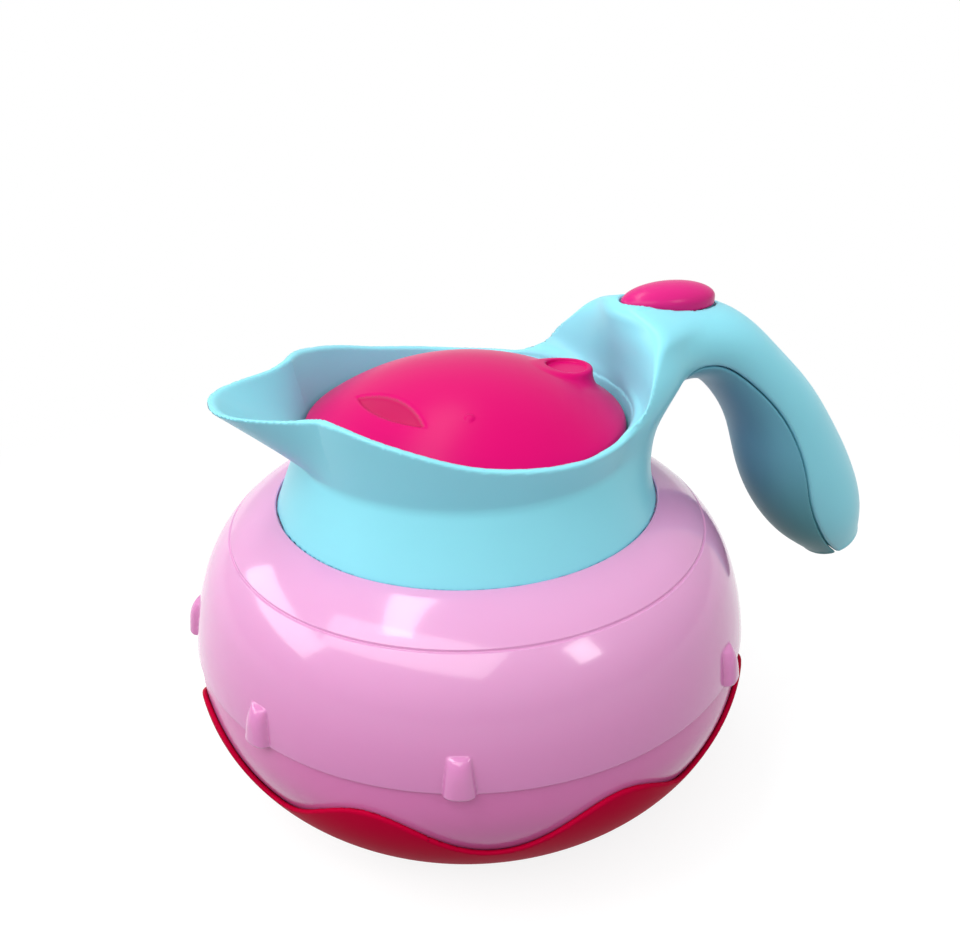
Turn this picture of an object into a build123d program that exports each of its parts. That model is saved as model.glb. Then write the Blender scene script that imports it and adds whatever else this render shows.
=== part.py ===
from build123d import *
from math import acos, asin, atan2, cos, degrees, exp, hypot, pi, radians, sin, sqrt
import os

# Toy coffee maker: a round belly on a cup base, with a collar, spout and handle in one moulding.
# Millimetres, +Z up.  The origin is the belly's axis at the foot plane.  Handle +X, spout -X.

# ---------------------------------------------------------------- belly
EQUATOR_Z = 40.0            # height of the widest circle above the foot
BELLY_R = 75.0              # largest radius
SIDE_ARC_R = 63.6           # arc above the equator
SIDE_ARC_DEG = 21.7         # its angle
SHOULDER_ARC_R = 32.0       # tangent arc over the shoulder
UNDER_H = 49.0              # half height of the ellipse under the equator
WALL = 2.2                  # wall of every big moulding
PARTING_Z = EQUATOR_Z + 6.6         # upper bowl on lower bowl
STEP_Z = EQUATOR_Z + 35.0           # fine groove round the shoulder
GROOVE_W, GROOVE_D = 0.5, 0.4
PART_GAP = 0.1              # clearance between nested mouldings

# ---------------------------------------------------------------- base cup
LOWER_INSET = 0.7           # lower bowl's outside under the upper bowl's
CUP_PROUD = 0.7             # outside of the cup over the belly
CUP_FLOOR = 2.2
WAVES = 8
WAVE_CREST_DEG = -127.5
WAVE_CREST_Z = EQUATOR_Z - 1.0
WAVE_DEPTH = 12.5
# ---------------------------------------------------------------- lower bowl
BOWL_BOTTOM_Z = 16.0
FLANGE_Z = 20.0             # inward flange that the chassis stands on
FLANGE_T = 2.0
FLANGE_R = 55.0
TONGUE_H, TONGUE_T = 2.4, 1.5
# ---------------------------------------------------------------- lugs on the upper bowl
LUG_DEGS = (-190, -150, -111, -50, 10, 50, 110)
LUG_H, LUG_BOTTOM_W, LUG_TOP_W = 9.0, 7.4, 5.2
LUG_PROUD = 2.2

# ---------------------------------------------------------------- collar, spout and rim
NECK_Z = EQUATOR_Z + 41.0           # the collar's seat
NECK_R = 50.0
CREASE_R, CREASE_Z = 43.2, EQUATOR_Z + 57.5
COLLAR_WALL = 2.2
CREASE_LAP = 2.0            # the cone and the flare run through each other at the crease
SEAT_LEDGE_R = 47.6         # hole in the upper bowl
SEAT_T = 2.2                # thickness of its reinforced edge
SEAT_RING_R = 53.0
SKIRT_T, SKIRT_H = 2.2, 3.1
FLARE_TOP_Z = EQUATOR_Z + 88.0      # the flare's construction plane, above the rim
LIP_R = 45.8                # collar's radius at the rim
SPOUT_REACH = 17.4          # how far the lip stands beyond it
SPOUT_SPREAD, SPOUT_POWER = 18.3, 2.6
BACK_SLOPE = 0.2
SCOOP_R = 42.6              # inner wall in front of the handle, under the rim
# over the rim: height over the equator, and how far the face leans back per square millimetre of width
SCOOP = ((64.5, -0.0141), (67.9, -0.0081), (72.5, -0.0068), (76.6, -0.0055), (81.4, -0.001),
         (83.7, 0.0145), (92.0, 0.0145))
SCOOP_HALF_W = 36.0
SCOOP_STEP = 0.4
RIM = ((-90, 75.2), (-63, 75.2), (-52, 75.2), (-44, 75.6), (-39.5, 76.3), (-33.3, 75), (-26.8, 73.2),
       (-19.4, 71), (-12.8, 69.2), (-5, 67.8), (2, 66.8), (12, 65.7), (22, 65.4), (60, 65.6))
SPLIT_RIM_X = 35.0          # behind this the handle's root rises over the rim

# ---------------------------------------------------------------- handle
# elliptical sections: centre x, centre height over the equator, half thickness, half width
HANDLE = ((56.0, 75.9, 11.2, 16.6), (62.0, 75.6, 10.8, 15.6), (69.2, 74.1, 10.6, 14.8), (83.1, 63.7, 10.6, 14.5),
          (94.1, 50.0, 12.8, 14.5), (102.6, 34.2, 15.6, 14.5), (111.6, 19.8, 15.4, 14.0),
          (117.9, 10.4, 13.1, 12.6), (122.8, 2.5, 9.4, 9.8))
TIP = (126.0, -2.6)
# level sections of the root: height over the equator, centre x, half length, half width
ROOT = ((40.0, 20.0, 29.4, 32.6), (52.0, 20.0, 29.8, 32.8), (60.5, 20.5, 31.0, 33.0), (67.0, 22.0, 34.0, 32.6),
        (74.0, 26.0, 35.5, 29.0), (80.0, 32.5, 29.0, 24.0), (84.0, 38.0, 21.5, 18.5), (86.8, 44.0, 9.0, 8.0))
ARM_START = (47.0, 75.3, 10.6, 15.0)
HANDLE_WALL = 2.2
COVER = ((56.0, 71.0), (59.6, 71.6), (66.8, 70.8), (74.4, 66.5), (82.3, 59.7), (89.8, 51.2), (94.6, 43.6),
         (99.3, 33.5), (102.8, 23.7), (108.5, 12.8), (115.1, 4.3), (124.0, -3.5), (131.5, -9.0))
COVER_GAP = 0.1

# ---------------------------------------------------------------- button in the handle
BTN_X, BTN_TOP_Z = 57.35, EQUATOR_Z + 91.1
BTN_L, BTN_W = 27.0, 15.0
BTN_CAP_H = 6.5
BTN_TRAVEL = 1.5
BTN_GAP = 0.3
TUB_WALL = 1.5
STEM_L, STEM_W, STEM_H = 19.0, 8.0, 6.6
SW_X, SPRING_X = 61.5, 52.0
SPRING_R, SPRING_WIRE = 3.0, 0.6
SW_SIZE, SW_H, SW_TIP_R, SW_TIP_H = 6.0, 3.5, 1.6, 0.7
BTN_BOARD_L, BTN_BOARD_W, BTN_BOARD_T = 21.0, 16.0, 1.2
BTN_POST_R, BTN_POST_Y = 1.8, 6.4

# ---------------------------------------------------------------- pot well and lid
WELL_R, WELL_WALL = 39.5, 2.0
WELL_FLOOR_Z, WELL_TOP_Z = 66.0, 92.0
WELL_FLANGE_T = 2.2
WELL_BOSS_R, WELL_BOSS_AT = 3.5, 43.9
WELL_SCREW_DEGS = (45, 135, 225, 315)
HINGE_X, HINGE_Z = 30.0, 102.5
PIN_R, PIN_FIT = 1.0, 0.05
EAR_R, EAR_Y, EAR_T = 2.5, 10.0, 2.5
KNUCKLE_T, KNUCKLE_GAP = 3.3, 0.3
LID_OPEN_DEG = 45.0
LID_R = 41.2
LID_EDGE_Z = EQUATOR_Z + 62.8
DOME_R = 69.7
LID_T, LID_SKIRT_H, LID_SKIRT_T = 1.8, 2.3, 1.6
BOSS_X, BOSS_R, BOSS_TOP_Z = 28.3, 7.0, EQUATOR_Z + 71.9
BOSS_DISH_R, BOSS_DISH = 5.4, 0.8
# leaf-shaped recess: where its outer circle and the circle of its inner edge meet
VENT_R, VENT_INNER_R, VENT_AT, VENT_DEG, VENT_DEPTH = 28.2, 30.2, 50.9, -157.0, 0.8
GATE_R, GATE_PROUD, GATE_AT, GATE_DEG = 1.0, 0.3, 24.2, -106.0
REST_GAP = 0.3

# ---------------------------------------------------------------- chassis, screws
CHASSIS_Z = FLANGE_Z + FLANGE_T
CHASSIS_T, CHASSIS_R = 2.0, 64.4
POST_R, POST_AT, POST_DEGS = 3.5, 41.0, (180, 60, 300)
BODY_BOSS_R, BODY_BOSS_AT, BODY_BOSS_DEGS = 3.5, 59.0, (30, 150, 210, 330)
SCREW_R, SCREW_HEAD_R, SCREW_HEAD_H = 1.4, 2.6, 1.8
SCREW_FIT = 0.02            # pilot holes over the thread's radius
BASE_SCREW_L, BODY_SCREW_L, WELL_SCREW_L, SMALL_SCREW_L = 12.0, 14.0, 9.0, 5.0
SMALL_SCREW_R, SMALL_HEAD_R, SMALL_HEAD_H = 0.9, 1.8, 1.2

# ---------------------------------------------------------------- batteries
CELL_R, CELL_L, CELL_PITCH = 7.25, 50.5, 15.2
BAY_X = -19.2
BAY_WALL, BAY_SIDE_GAP, BAY_TOP_GAP = 1.6, 0.35, 0.8
SPRING_SPACE, PLATE_T = 3.4, 0.4
CELL_Z0 = 3.2
DOOR_T, DOOR_GAP, DOOR_RECESS, DOOR_LAP = 1.7, 0.15, 0.3, 1.0
DOOR_TAB_W, DOOR_SCREW_Y = 9.6, 33.5

# ---------------------------------------------------------------- electronics
BOARD_X, BOARD_L, BOARD_W, BOARD_T = 6.0, 56.0, 44.0, 1.6
STANDOFF_H, STANDOFF_R, BOARD_INSET = 3.0, 2.4, 4.0
LED_R, LED_H, LED_RING = 2.5, 5.0, 14.0
LED_DEGS = (45, 135, 225, 315)
DIFF_R, DIFF_WALL, DIFF_CHAMFER, LED_CLEAR = 19.6, 1.2, 2.0, 0.8
SPK_X, SPK_R, SPK_FLANGE_T, SPK_BASKET_R, SPK_BASKET_H = 22.0, 17.0, 1.5, 13.0, 5.0
SPK_MAGNET_R, SPK_MAGNET_H = 9.0, 5.5
SPK_RING_T, SPK_RING_H = 1.4, 3.0
GRILLE_R, GRILLE_PITCH = 1.0, 4.2
SLIDE_X, SLIDE_Y, SLIDE_TRAVEL = 1.0, 36.0, 4.0
SLIDE_BODY_L, SLIDE_BODY_W, SLIDE_BODY_H = 13.0, 6.6, 5.0
KNOB_L, KNOB_W, KNOB_GAP, KNOB_RECESS = 3.0, 2.6, 0.35, 0.5
# ---------------------------------------------------------------- mist unit under the well
MIST_X, MIST_R, MIST_WALL, MIST_Z0 = -18.0, 11.0, 1.5, 44.0
MIST_DISC_R, MIST_DISC_T, WICK_R = 6.0, 1.0, 3.0

BASE = (Align.CENTER, Align.CENTER, Align.MIN)
CELL_ENDS = CELL_L + SPRING_SPACE + 2 * PLATE_T
BAY_L = CELL_ENDS + 0.4
BAY_W = CELL_PITCH + 2 * CELL_R + 2 * BAY_SIDE_GAP
TRAY_L, TRAY_W = BAY_L + 2 * BAY_WALL, BAY_W + 2 * BAY_WALL
CHASSIS_TOP = CHASSIS_Z + CHASSIS_T
BOARD_Z = CHASSIS_TOP + STANDOFF_H
BTN_CAP_Z = BTN_TOP_Z - BTN_CAP_H
TUB_FLOOR_Z = BTN_CAP_Z - BTN_TRAVEL - BTN_GAP
STEM_Z = BTN_CAP_Z - STEM_H
BTN_BOARD_Z = STEM_Z - BTN_TRAVEL - BTN_GAP - SW_TIP_H - SW_H
BTN_BOARD_X = 58.6
WELL_FLANGE_Z = NECK_Z - SKIRT_H - WELL_FLANGE_T
DOME_Z = LID_EDGE_Z - sqrt(DOME_R ** 2 - LID_R ** 2)


def cyl(r, z0, z1, x=0.0, y=0.0):
    return Pos(x, y, z0) * Cylinder(r, z1 - z0, align=BASE)


def ring(r0, r1, z0, z1, x=0.0, y=0.0):
    return cyl(r1, z0, z1, x, y) - cyl(r0, z0 - 1, z1 + 1, x, y)


def block(x0, x1, y0, y1, z0, z1):
    return Pos((x0 + x1) / 2, (y0 + y1) / 2, z0) * Box(x1 - x0, y1 - y0, z1 - z0, align=BASE)


def turned(points):
    return revolve(Plane.XZ * make_face(Polyline(*points, close=True)), Axis.Z, 360)


def at(radius, deg):
    return radius * cos(radians(deg)), radius * sin(radians(deg))


def oval(length, width, z0, z1, x=0.0, y=0.0):
    return Pos(x, y, z0) * extrude(Ellipse(length / 2, width / 2), z1 - z0)


def belly(off=0.0):
    """The belly's whole volume, grown by off along its normals."""
    c1x = BELLY_R - SIDE_ARC_R
    a = radians(SIDE_ARC_DEG)
    c2x = c1x + (SIDE_ARC_R - SHOULDER_ARC_R) * cos(a)
    c2z = EQUATOR_Z + (SIDE_ARC_R - SHOULDER_ARC_R) * sin(a)
    top = c2z + SHOULDER_ARC_R + off
    low = EQUATOR_Z - UNDER_H - off
    under = EllipticalCenterArc((0, EQUATOR_Z), BELLY_R + off, UNDER_H + off, -90, arc_size=90)
    side = CenterArc((c1x, EQUATOR_Z), SIDE_ARC_R + off, 0, SIDE_ARC_DEG)
    shoulder = CenterArc((c2x, c2z), SHOULDER_ARC_R + off, SIDE_ARC_DEG, 90 - SIDE_ARC_DEG)
    lid = Line((c2x, top), (0, top))
    axis = Line((0, top), (0, low))
    return revolve(Plane.XZ * make_face([under, side, shoulder, lid, axis]), Axis.Z, 360)


def screw(r, length, head_r, head_h):
    """A screw pointing up, the head's top face at z = 0."""
    body = cyl(r, 0, length) + cyl(head_r, -head_h, 0)
    return body - block(-head_r * 0.6, head_r * 0.6, -0.3, 0.3, -head_h - 1, -head_h + 0.5)


def together(items):
    return Compound(children=list(items))


# ---------------------------------------------------------------- shells
def wave_cutter():
    """Material over one trough of the base cup's wavy rim, centred on +X."""
    half = 180.0 / WAVES
    r = BELLY_R
    pts = []
    for i in range(13):
        a = -half + 2 * half * i / 12
        z = WAVE_CREST_Z - WAVE_DEPTH / 2 * (1 + cos(radians(a * 360 / (2 * half))))
        pts.append((r * sin(radians(a)), z))
    y0, y1 = r * sin(radians(-half * 1.2)), r * sin(radians(half * 1.2))
    top = WAVE_CREST_Z + 20
    curve = Spline(*pts)
    rest = Polyline(pts[-1], (y1, WAVE_CREST_Z), (y1, top), (y0, top), (y0, WAVE_CREST_Z), pts[0])
    face = Plane.YZ * make_face([curve, rest])
    return Pos(BELLY_R * 0.7, 0, 0) * extrude(face, BELLY_R * 0.5)


def base_cup():
    cup = belly(CUP_PROUD) & cyl(BELLY_R * 1.5, 0, WAVE_CREST_Z)
    cup -= belly(PART_GAP - LOWER_INSET) - cyl(BELLY_R * 1.5, -60, CUP_FLOOR)
    cutter = wave_cutter()
    for i in range(WAVES):
        cup -= Rot(0, 0, WAVE_CREST_DEG + (i + 0.5) * 360 / WAVES) * cutter
    cup -= door_shape(DOOR_GAP, -1, CUP_FLOOR + 1)
    for deg in POST_DEGS:
        x, y = at(POST_AT, deg)
        cup -= cyl(SCREW_R + 0.2, -1, CUP_FLOOR + 1, x, y)
        cup += cyl(SCREW_HEAD_R + 1.6, CUP_FLOOR - 0.5, BASE_HEAD_Z + 1.2, x, y) - cyl(
            SCREW_R + 0.2, 0, 9, x, y)
        cup -= cyl(SCREW_HEAD_R + 0.3, -1, BASE_HEAD_Z, x, y)
    for gx, gy in grille_points():
        cup -= cyl(GRILLE_R, -1, CUP_FLOOR + 1, SPK_X + gx, gy)
    cup += ring(SPK_R + 0.2, SPK_R + 0.2 + SPK_RING_T, CUP_FLOOR - 0.5, CUP_FLOOR + SPK_RING_H, SPK_X, 0)
    slot_l = KNOB_L + SLIDE_TRAVEL + 2 * KNOB_GAP
    sx = SLIDE_X + SLIDE_TRAVEL / 2
    cup -= block(sx - slot_l / 2, sx + slot_l / 2, SLIDE_Y - KNOB_W / 2 - KNOB_GAP,
                 SLIDE_Y + KNOB_W / 2 + KNOB_GAP, -1, CUP_FLOOR + 1)
    frame = block(sx - SLIDE_BODY_L / 2 - 1.3, sx + SLIDE_BODY_L / 2 + 1.3, SLIDE_Y - SLIDE_BODY_W / 2 - 1.3,
                  SLIDE_Y + SLIDE_BODY_W / 2 + 1.3, CUP_FLOOR - 0.5, CUP_FLOOR + 3)
    cup += frame - block(sx - SLIDE_BODY_L / 2 - 0.1, sx + SLIDE_BODY_L / 2 + 0.1,
                         SLIDE_Y - SLIDE_BODY_W / 2 - 0.1, SLIDE_Y + SLIDE_BODY_W / 2 + 0.1, 0, CUP_FLOOR + 4)
    return cup


BASE_HEAD_Z = 3.0           # depth of the screw heads' recesses in the foot


def grille_points():
    pts = []
    n = int((SPK_R - 5) / GRILLE_PITCH)
    for i in range(-n, n + 1):
        for j in range(-n, n + 1):
            x, y = (i + 0.5 * (j % 2)) * GRILLE_PITCH, j * GRILLE_PITCH * 0.866
            if hypot(x, y) < SPK_R - 4.5:
                pts.append((x, y))
    return pts


def door_shape(grow, z0, z1):
    w, l = BAY_W / 2 + DOOR_LAP + grow, BAY_L / 2 + DOOR_LAP + grow
    tab = DOOR_TAB_W / 2 + grow
    plate = block(BAY_X - w, BAY_X + w, -l, l, z0, z1)
    return plate + block(BAY_X - tab, BAY_X + tab, 0, DOOR_SCREW_Y + DOOR_TAB_W / 2 - 1 + grow, z0, z1)


def lower_bowl():
    slab = cyl(BELLY_R * 1.5, BOWL_BOTTOM_Z, PARTING_Z)
    bowl = (belly(-LOWER_INSET) & slab) - belly(-WALL)
    flange = (belly(-WALL / 2) & cyl(BELLY_R, FLANGE_Z, FLANGE_Z + FLANGE_T)) - cyl(FLANGE_R, 0, 60)
    bowl += flange
    tongue = belly(-WALL - PART_GAP) & cyl(BELLY_R, PARTING_Z - 3, PARTING_Z + TONGUE_H)
    tongue -= belly(-WALL - PART_GAP - TONGUE_T)
    web = (belly(-WALL / 2) & cyl(BELLY_R, PARTING_Z - 3, PARTING_Z - 1)) - belly(-WALL - TONGUE_T)
    bowl += tongue + web
    for deg in BODY_BOSS_DEGS:
        bowl -= cyl(SCREW_R + 0.2, 0, 30, *at(BODY_BOSS_AT, deg))
    return bowl


def groove_ring(z):
    band = cyl(BELLY_R * 1.2, z - GROOVE_W / 2, z + GROOVE_W / 2)
    return band - belly(-GROOVE_D)


def lug():
    r0 = BELLY_R - 6
    pts = [(-LUG_BOTTOM_W / 2, PARTING_Z), (LUG_BOTTOM_W / 2, PARTING_Z),
           (LUG_TOP_W / 2, PARTING_Z + LUG_H), (-LUG_TOP_W / 2, PARTING_Z + LUG_H)]
    body = Pos(r0, 0, 0) * extrude(Plane.YZ * make_face(Polyline(*pts, close=True)), 12)
    body &= belly(LUG_PROUD)
    return body - belly(-WALL / 2)


def upper_bowl():
    slab = cyl(BELLY_R * 1.5, PARTING_Z, NECK_Z + 10)
    bowl = (belly() & slab) - belly(-WALL)
    bowl += cyl(SEAT_RING_R, NECK_Z - SEAT_T, NECK_Z)
    bowl -= cyl(SEAT_LEDGE_R, 0, 200)
    bowl -= cyl(NECK_R + PART_GAP / 2, NECK_Z, 200)
    bowl -= groove_ring(STEP_Z)
    one = lug()
    for deg in LUG_DEGS:
        bowl += Rot(0, 0, deg) * one
    for deg in BODY_BOSS_DEGS:
        x, y = at(BODY_BOSS_AT, deg)
        bowl += (cyl(BODY_BOSS_R, CHASSIS_TOP, 90, x, y) & belly(-WALL / 2)) - cyl(
            SCREW_R + SCREW_FIT, 0, CHASSIS_TOP + BODY_SCREW_L, x, y)
        bowl -= cyl(SCREW_R + SCREW_FIT, 0, CHASSIS_TOP + BODY_SCREW_L, x, y)
    return bowl


# ---------------------------------------------------------------- collar, spout, handle
def lip_radius(deg):
    """Collar's outer radius at the rim, by angle from the handle."""
    d = abs(180 - (deg % 360))
    return LIP_R + SPOUT_REACH * exp(-((d / SPOUT_SPREAD) ** SPOUT_POWER))


def flare(inset):
    """Ruled flare from the crease up to the construction plane, as a solid."""
    low, high = [], []
    for i in range(72):
        deg = i * 5
        d = abs(180 - deg)
        rim_h = EQUATOR_Z + 75.2 if d < 60 else EQUATOR_Z + 68
        slope = max(BACK_SLOPE, (lip_radius(deg) - CREASE_R) / (rim_h - CREASE_Z)) if d < 60 else BACK_SLOPE
        r = CREASE_R + slope * (FLARE_TOP_Z - CREASE_Z) - inset
        x, y = at(CREASE_R - slope * CREASE_LAP - inset, deg)
        low.append((x, y, CREASE_Z - CREASE_LAP))
        x, y = at(r, deg)
        high.append((x, y, FLARE_TOP_Z))
    f0 = make_face(Spline(*low, periodic=True))
    f1 = make_face(Spline(*high, periodic=True))
    return loft([f0, f1], ruled=True)


def rim_cutter():
    pts = [(x, EQUATOR_Z + z) for x, z in RIM]
    top = FLARE_TOP_Z + 10
    face = make_face([Spline(*pts), Polyline(pts[-1], (pts[-1][0], top), (pts[0][0], top), pts[0])])
    return Pos(0, BELLY_R, 0) * extrude(Plane.XZ * face, BELLY_R * 2)


def section(cx, cz, tx, tz, a, b):
    """Ellipse face of the handle: half thickness a in the handle's plane, half width b."""
    plane = Plane(origin=(cx, 0, cz), x_dir=(0, 1, 0), z_dir=(tx, 0, tz))
    return plane * Ellipse(b, a)


def arm_sections(shrink):
    faces = []
    path = [ARM_START] + list(HANDLE)
    n = len(path)
    for i in range(n):
        x, z, a, b = path[i]
        x1, z1 = path[i + 1][:2] if i < n - 1 else TIP
        x0, z0 = path[i - 1][:2] if i else (x - 1, z)
        length = hypot(x1 - x0, z1 - z0)
        tx, tz = ((x1 - x0) / length, (z1 - z0) / length) if i else (1, 0)
        if a - shrink > 3:
            faces.append(section(x, EQUATOR_Z + z, tx, tz, a - shrink, b - shrink))
    return faces


def handle_arm():
    return loft(arm_sections(0) + [Vertex(TIP[0], 0, EQUATOR_Z + TIP[1])])


def handle_root():
    return loft([Pos(x, 0, EQUATOR_Z + z) * Ellipse(a, b) for z, x, a, b in ROOT])


def handle_hollow():
    return loft(arm_sections(HANDLE_WALL)) - cyl(SCOOP_R + COLLAR_WALL, 0, 200)


def cover_region(grow):
    """Everything on the inner side of the handle's parting line."""
    pts = [(x + grow, EQUATOR_Z + z + grow) for x, z in COVER]
    low = EQUATOR_Z - 30
    end = (pts[-1][0] + 8, pts[-1][1] - 5)
    x0 = COVER[0][0] - grow
    corner = [(x0, pts[0][1]), pts[0]] if grow else [pts[0]]
    curve = Spline(*pts)
    rest = Polyline(pts[-1], end, (end[0], low), (x0, low), *corner)
    return Pos(0, BELLY_R, 0) * extrude(Plane.XZ * make_face([curve, rest]), BELLY_R * 2)


def cone(r0, r1, z0, z1):
    return Pos(0, 0, z0) * Cone(r0, r1, z1 - z0, align=BASE)


def neck_cone(inset, z0):
    """The collar's cone from z0 up to a little over the crease."""
    slope = (NECK_R - CREASE_R) / (CREASE_Z - NECK_Z)
    z1 = CREASE_Z + CREASE_LAP
    return cone(NECK_R - inset - slope * (z0 - NECK_Z), NECK_R - inset - slope * (z1 - NECK_Z), z0, z1)


def low_space():
    """Hollow of the collar under its crease."""
    rise = 2.0
    space = cyl(SEAT_LEDGE_R - PART_GAP - SKIRT_T, NECK_Z - 20, NECK_Z + rise + 0.5)
    return space + neck_cone(COLLAR_WALL, NECK_Z + rise)


def scoop_cutter():
    """Space between the lid and the handle's root over the rim."""
    faces = []
    for z, lean in SCOOP:
        ys = [SCOOP_HALF_W * i / 3 for i in range(-3, 4)]
        pts = [(SCOOP_R + lean * y * y, y) for y in ys]
        back = Polyline(pts[-1], (-BELLY_R, SCOOP_HALF_W), (-BELLY_R, -SCOOP_HALF_W), pts[0])
        faces.append(Pos(0, 0, EQUATOR_Z + z) * make_face([Spline(*pts), back]))
    return loft(faces, ruled=True)


def button_tub(grow):
    return oval(BTN_L + 2 * (BTN_GAP + grow), BTN_W + 2 * (BTN_GAP + grow), TUB_FLOOR_Z - grow,
                BTN_TOP_Z, BTN_X, 0)


def carafe_top():
    low, wide = low_space(), flare(COLLAR_WALL)
    body = cyl(SEAT_LEDGE_R - PART_GAP, NECK_Z - SKIRT_H, NECK_Z + 1) + neck_cone(0, NECK_Z)
    body = body + (flare(0) - rim_cutter())
    body = (body - low) - wide
    root = handle_root() - block(-200, SPLIT_RIM_X, -100, 100, EQUATOR_Z + 66, 300)
    root = root - cyl(NECK_R + 2, 0, NECK_Z)
    root = root - low
    root = root - (wide & cyl(SCOOP_R - SCOOP_STEP, 0, EQUATOR_Z + SCOOP[0][0] + 1))
    body = body + ((root + handle_arm()) - scoop_cutter())
    body -= handle_hollow() - button_tub(TUB_WALL)
    body -= oval(BTN_L + 2 * BTN_GAP, BTN_W + 2 * BTN_GAP, TUB_FLOOR_Z, BTN_TOP_Z + 9, BTN_X, 0)
    body -= oval(STEM_L + 2 * BTN_GAP, STEM_W + 2 * BTN_GAP, TUB_FLOOR_Z - 9, BTN_TOP_Z, BTN_X, 0)
    for s in (-1, 1):
        post = cyl(BTN_POST_R, BTN_BOARD_Z + BTN_BOARD_T, TUB_FLOOR_Z - 0.5, BTN_BOARD_X, s * BTN_POST_Y)
        body += post - cyl(SMALL_SCREW_R + SCREW_FIT, 0, BTN_BOARD_Z + SMALL_SCREW_L + 0.5, BTN_BOARD_X,
                           s * BTN_POST_Y)
    body -= cover_region(COVER_GAP)
    for deg in WELL_SCREW_DEGS:
        x, y = at(WELL_BOSS_AT, deg)
        boss = cyl(WELL_BOSS_R, NECK_Z - SKIRT_H, NECK_Z + 9, x, y) & turned(
            [(0, 0), (NECK_R - 1, 0), (NECK_R - 1, NECK_Z), (CREASE_R - 1, CREASE_Z), (0, CREASE_Z)])
        hole = cyl(SCREW_R + SCREW_FIT, 0, WELL_FLANGE_Z + WELL_SCREW_L + 0.5, x, y)
        body = (body + boss) - hole
    return body


def handle_inner_cover():
    shell = handle_arm() - handle_hollow()
    return shell & cover_region(0)


# ---------------------------------------------------------------- button group
def handle_button():
    cap = oval(BTN_L, BTN_W, BTN_CAP_Z, BTN_CAP_Z + 2.4, BTN_X, 0)
    top = [Pos(BTN_X, 0, z) * Ellipse(BTN_L / 2 * k, BTN_W / 2 * k) for z, k in (
        (BTN_CAP_Z + 2.4, 1.0), (BTN_TOP_Z - 2.2, 0.95), (BTN_TOP_Z - 0.9, 0.82), (BTN_TOP_Z, 0.5))]
    cap += loft(top)
    stem = oval(STEM_L, STEM_W, STEM_Z, BTN_CAP_Z + 0.5, BTN_X, 0)
    return cap + stem


def button_spring():
    z0, z1 = BTN_BOARD_Z + BTN_BOARD_T, STEM_Z
    return ring(SPRING_R - SPRING_WIRE, SPRING_R, z0, z1, SPRING_X, 0)


def tact_switch():
    z = BTN_BOARD_Z + BTN_BOARD_T
    h = STEM_Z - BTN_TRAVEL - BTN_GAP - z
    s = SW_SIZE / 2
    return block(SW_X - s, SW_X + s, -s, s, z, z + h - SW_TIP_H) + cyl(SW_TIP_R, z + 1, z + h, SW_X, 0)


def button_board():
    l, w = BTN_BOARD_L / 2, BTN_BOARD_W / 2
    board = block(BTN_BOARD_X - l, BTN_BOARD_X + l, -w, w, BTN_BOARD_Z, BTN_BOARD_Z + BTN_BOARD_T)
    for s in (-1, 1):
        board -= cyl(SMALL_SCREW_R + 0.1, 0, 300, BTN_BOARD_X, s * BTN_POST_Y)
    return board


def button_board_screws():
    one = screw(SMALL_SCREW_R, SMALL_SCREW_L, SMALL_HEAD_R, SMALL_HEAD_H)
    return together(Pos(BTN_BOARD_X, s * BTN_POST_Y, BTN_BOARD_Z) * one for s in (-1, 1))


# ---------------------------------------------------------------- well and lid
def pot_well():
    well = cyl(WELL_R, WELL_FLOOR_Z, WELL_TOP_Z) - cyl(WELL_R - WELL_WALL, WELL_FLOOR_Z + WELL_WALL, 200)
    top = NECK_Z - SKIRT_H
    flange = cyl(SEAT_RING_R - 0.6, WELL_FLANGE_Z, top)
    flange += ring(SEAT_LEDGE_R + 0.3, SEAT_RING_R - 0.6, top - 0.5, NECK_Z - SEAT_T)
    well += flange - cyl(WELL_R - WELL_WALL / 2, 0, 200)
    for deg in WELL_SCREW_DEGS:
        well -= cyl(SCREW_R + 0.2, 0, 200, *at(WELL_BOSS_AT, deg))
    reach = sqrt((WELL_R - WELL_WALL / 2) ** 2 - (EAR_Y + EAR_T) ** 2)
    for s in (-1, 1):
        y0, y1 = sorted((s * EAR_Y, s * (EAR_Y + EAR_T)))
        ear = block(HINGE_X - EAR_R, reach, y0, y1, WELL_TOP_Z - 10, WELL_TOP_Z)
        ear += block(HINGE_X - EAR_R, HINGE_X + EAR_R, y0, y1, WELL_TOP_Z - 5, HINGE_Z)
        ear += Pos(HINGE_X, (y0 + y1) / 2, HINGE_Z) * Rot(90, 0, 0) * Cylinder(EAR_R, EAR_T)
        well += ear - Pos(HINGE_X, 0, HINGE_Z) * Rot(90, 0, 0) * Cylinder(PIN_R, 60)
    well -= cyl(MIST_DISC_R + 1, 0, WELL_FLOOR_Z + 9, MIST_X, 0)
    well += ring(MIST_DISC_R - 1, MIST_DISC_R + 1.5, WELL_FLOOR_Z + MIST_DISC_T, WELL_FLOOR_Z + WELL_WALL,
                 MIST_X, 0)
    return well


def lid_hinge_pin():
    return Pos(HINGE_X, 0, HINGE_Z) * Rot(90, 0, 0) * Cylinder(PIN_R, 2 * (EAR_Y + EAR_T) - 0.2)


def dome_point(r, inset=0.0):
    return r, DOME_Z + sqrt((DOME_R - inset) ** 2 - r ** 2)


def dome(inset):
    return Pos(0, 0, DOME_Z) * Sphere(DOME_R - inset)


def dome_shell():
    low = LID_EDGE_Z - LID_SKIRT_H
    outer = dome(0) & cyl(LID_R, low, 300)
    return outer - (dome(LID_T) & cyl(LID_R - LID_SKIRT_T, low - 1, 300))


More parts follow.
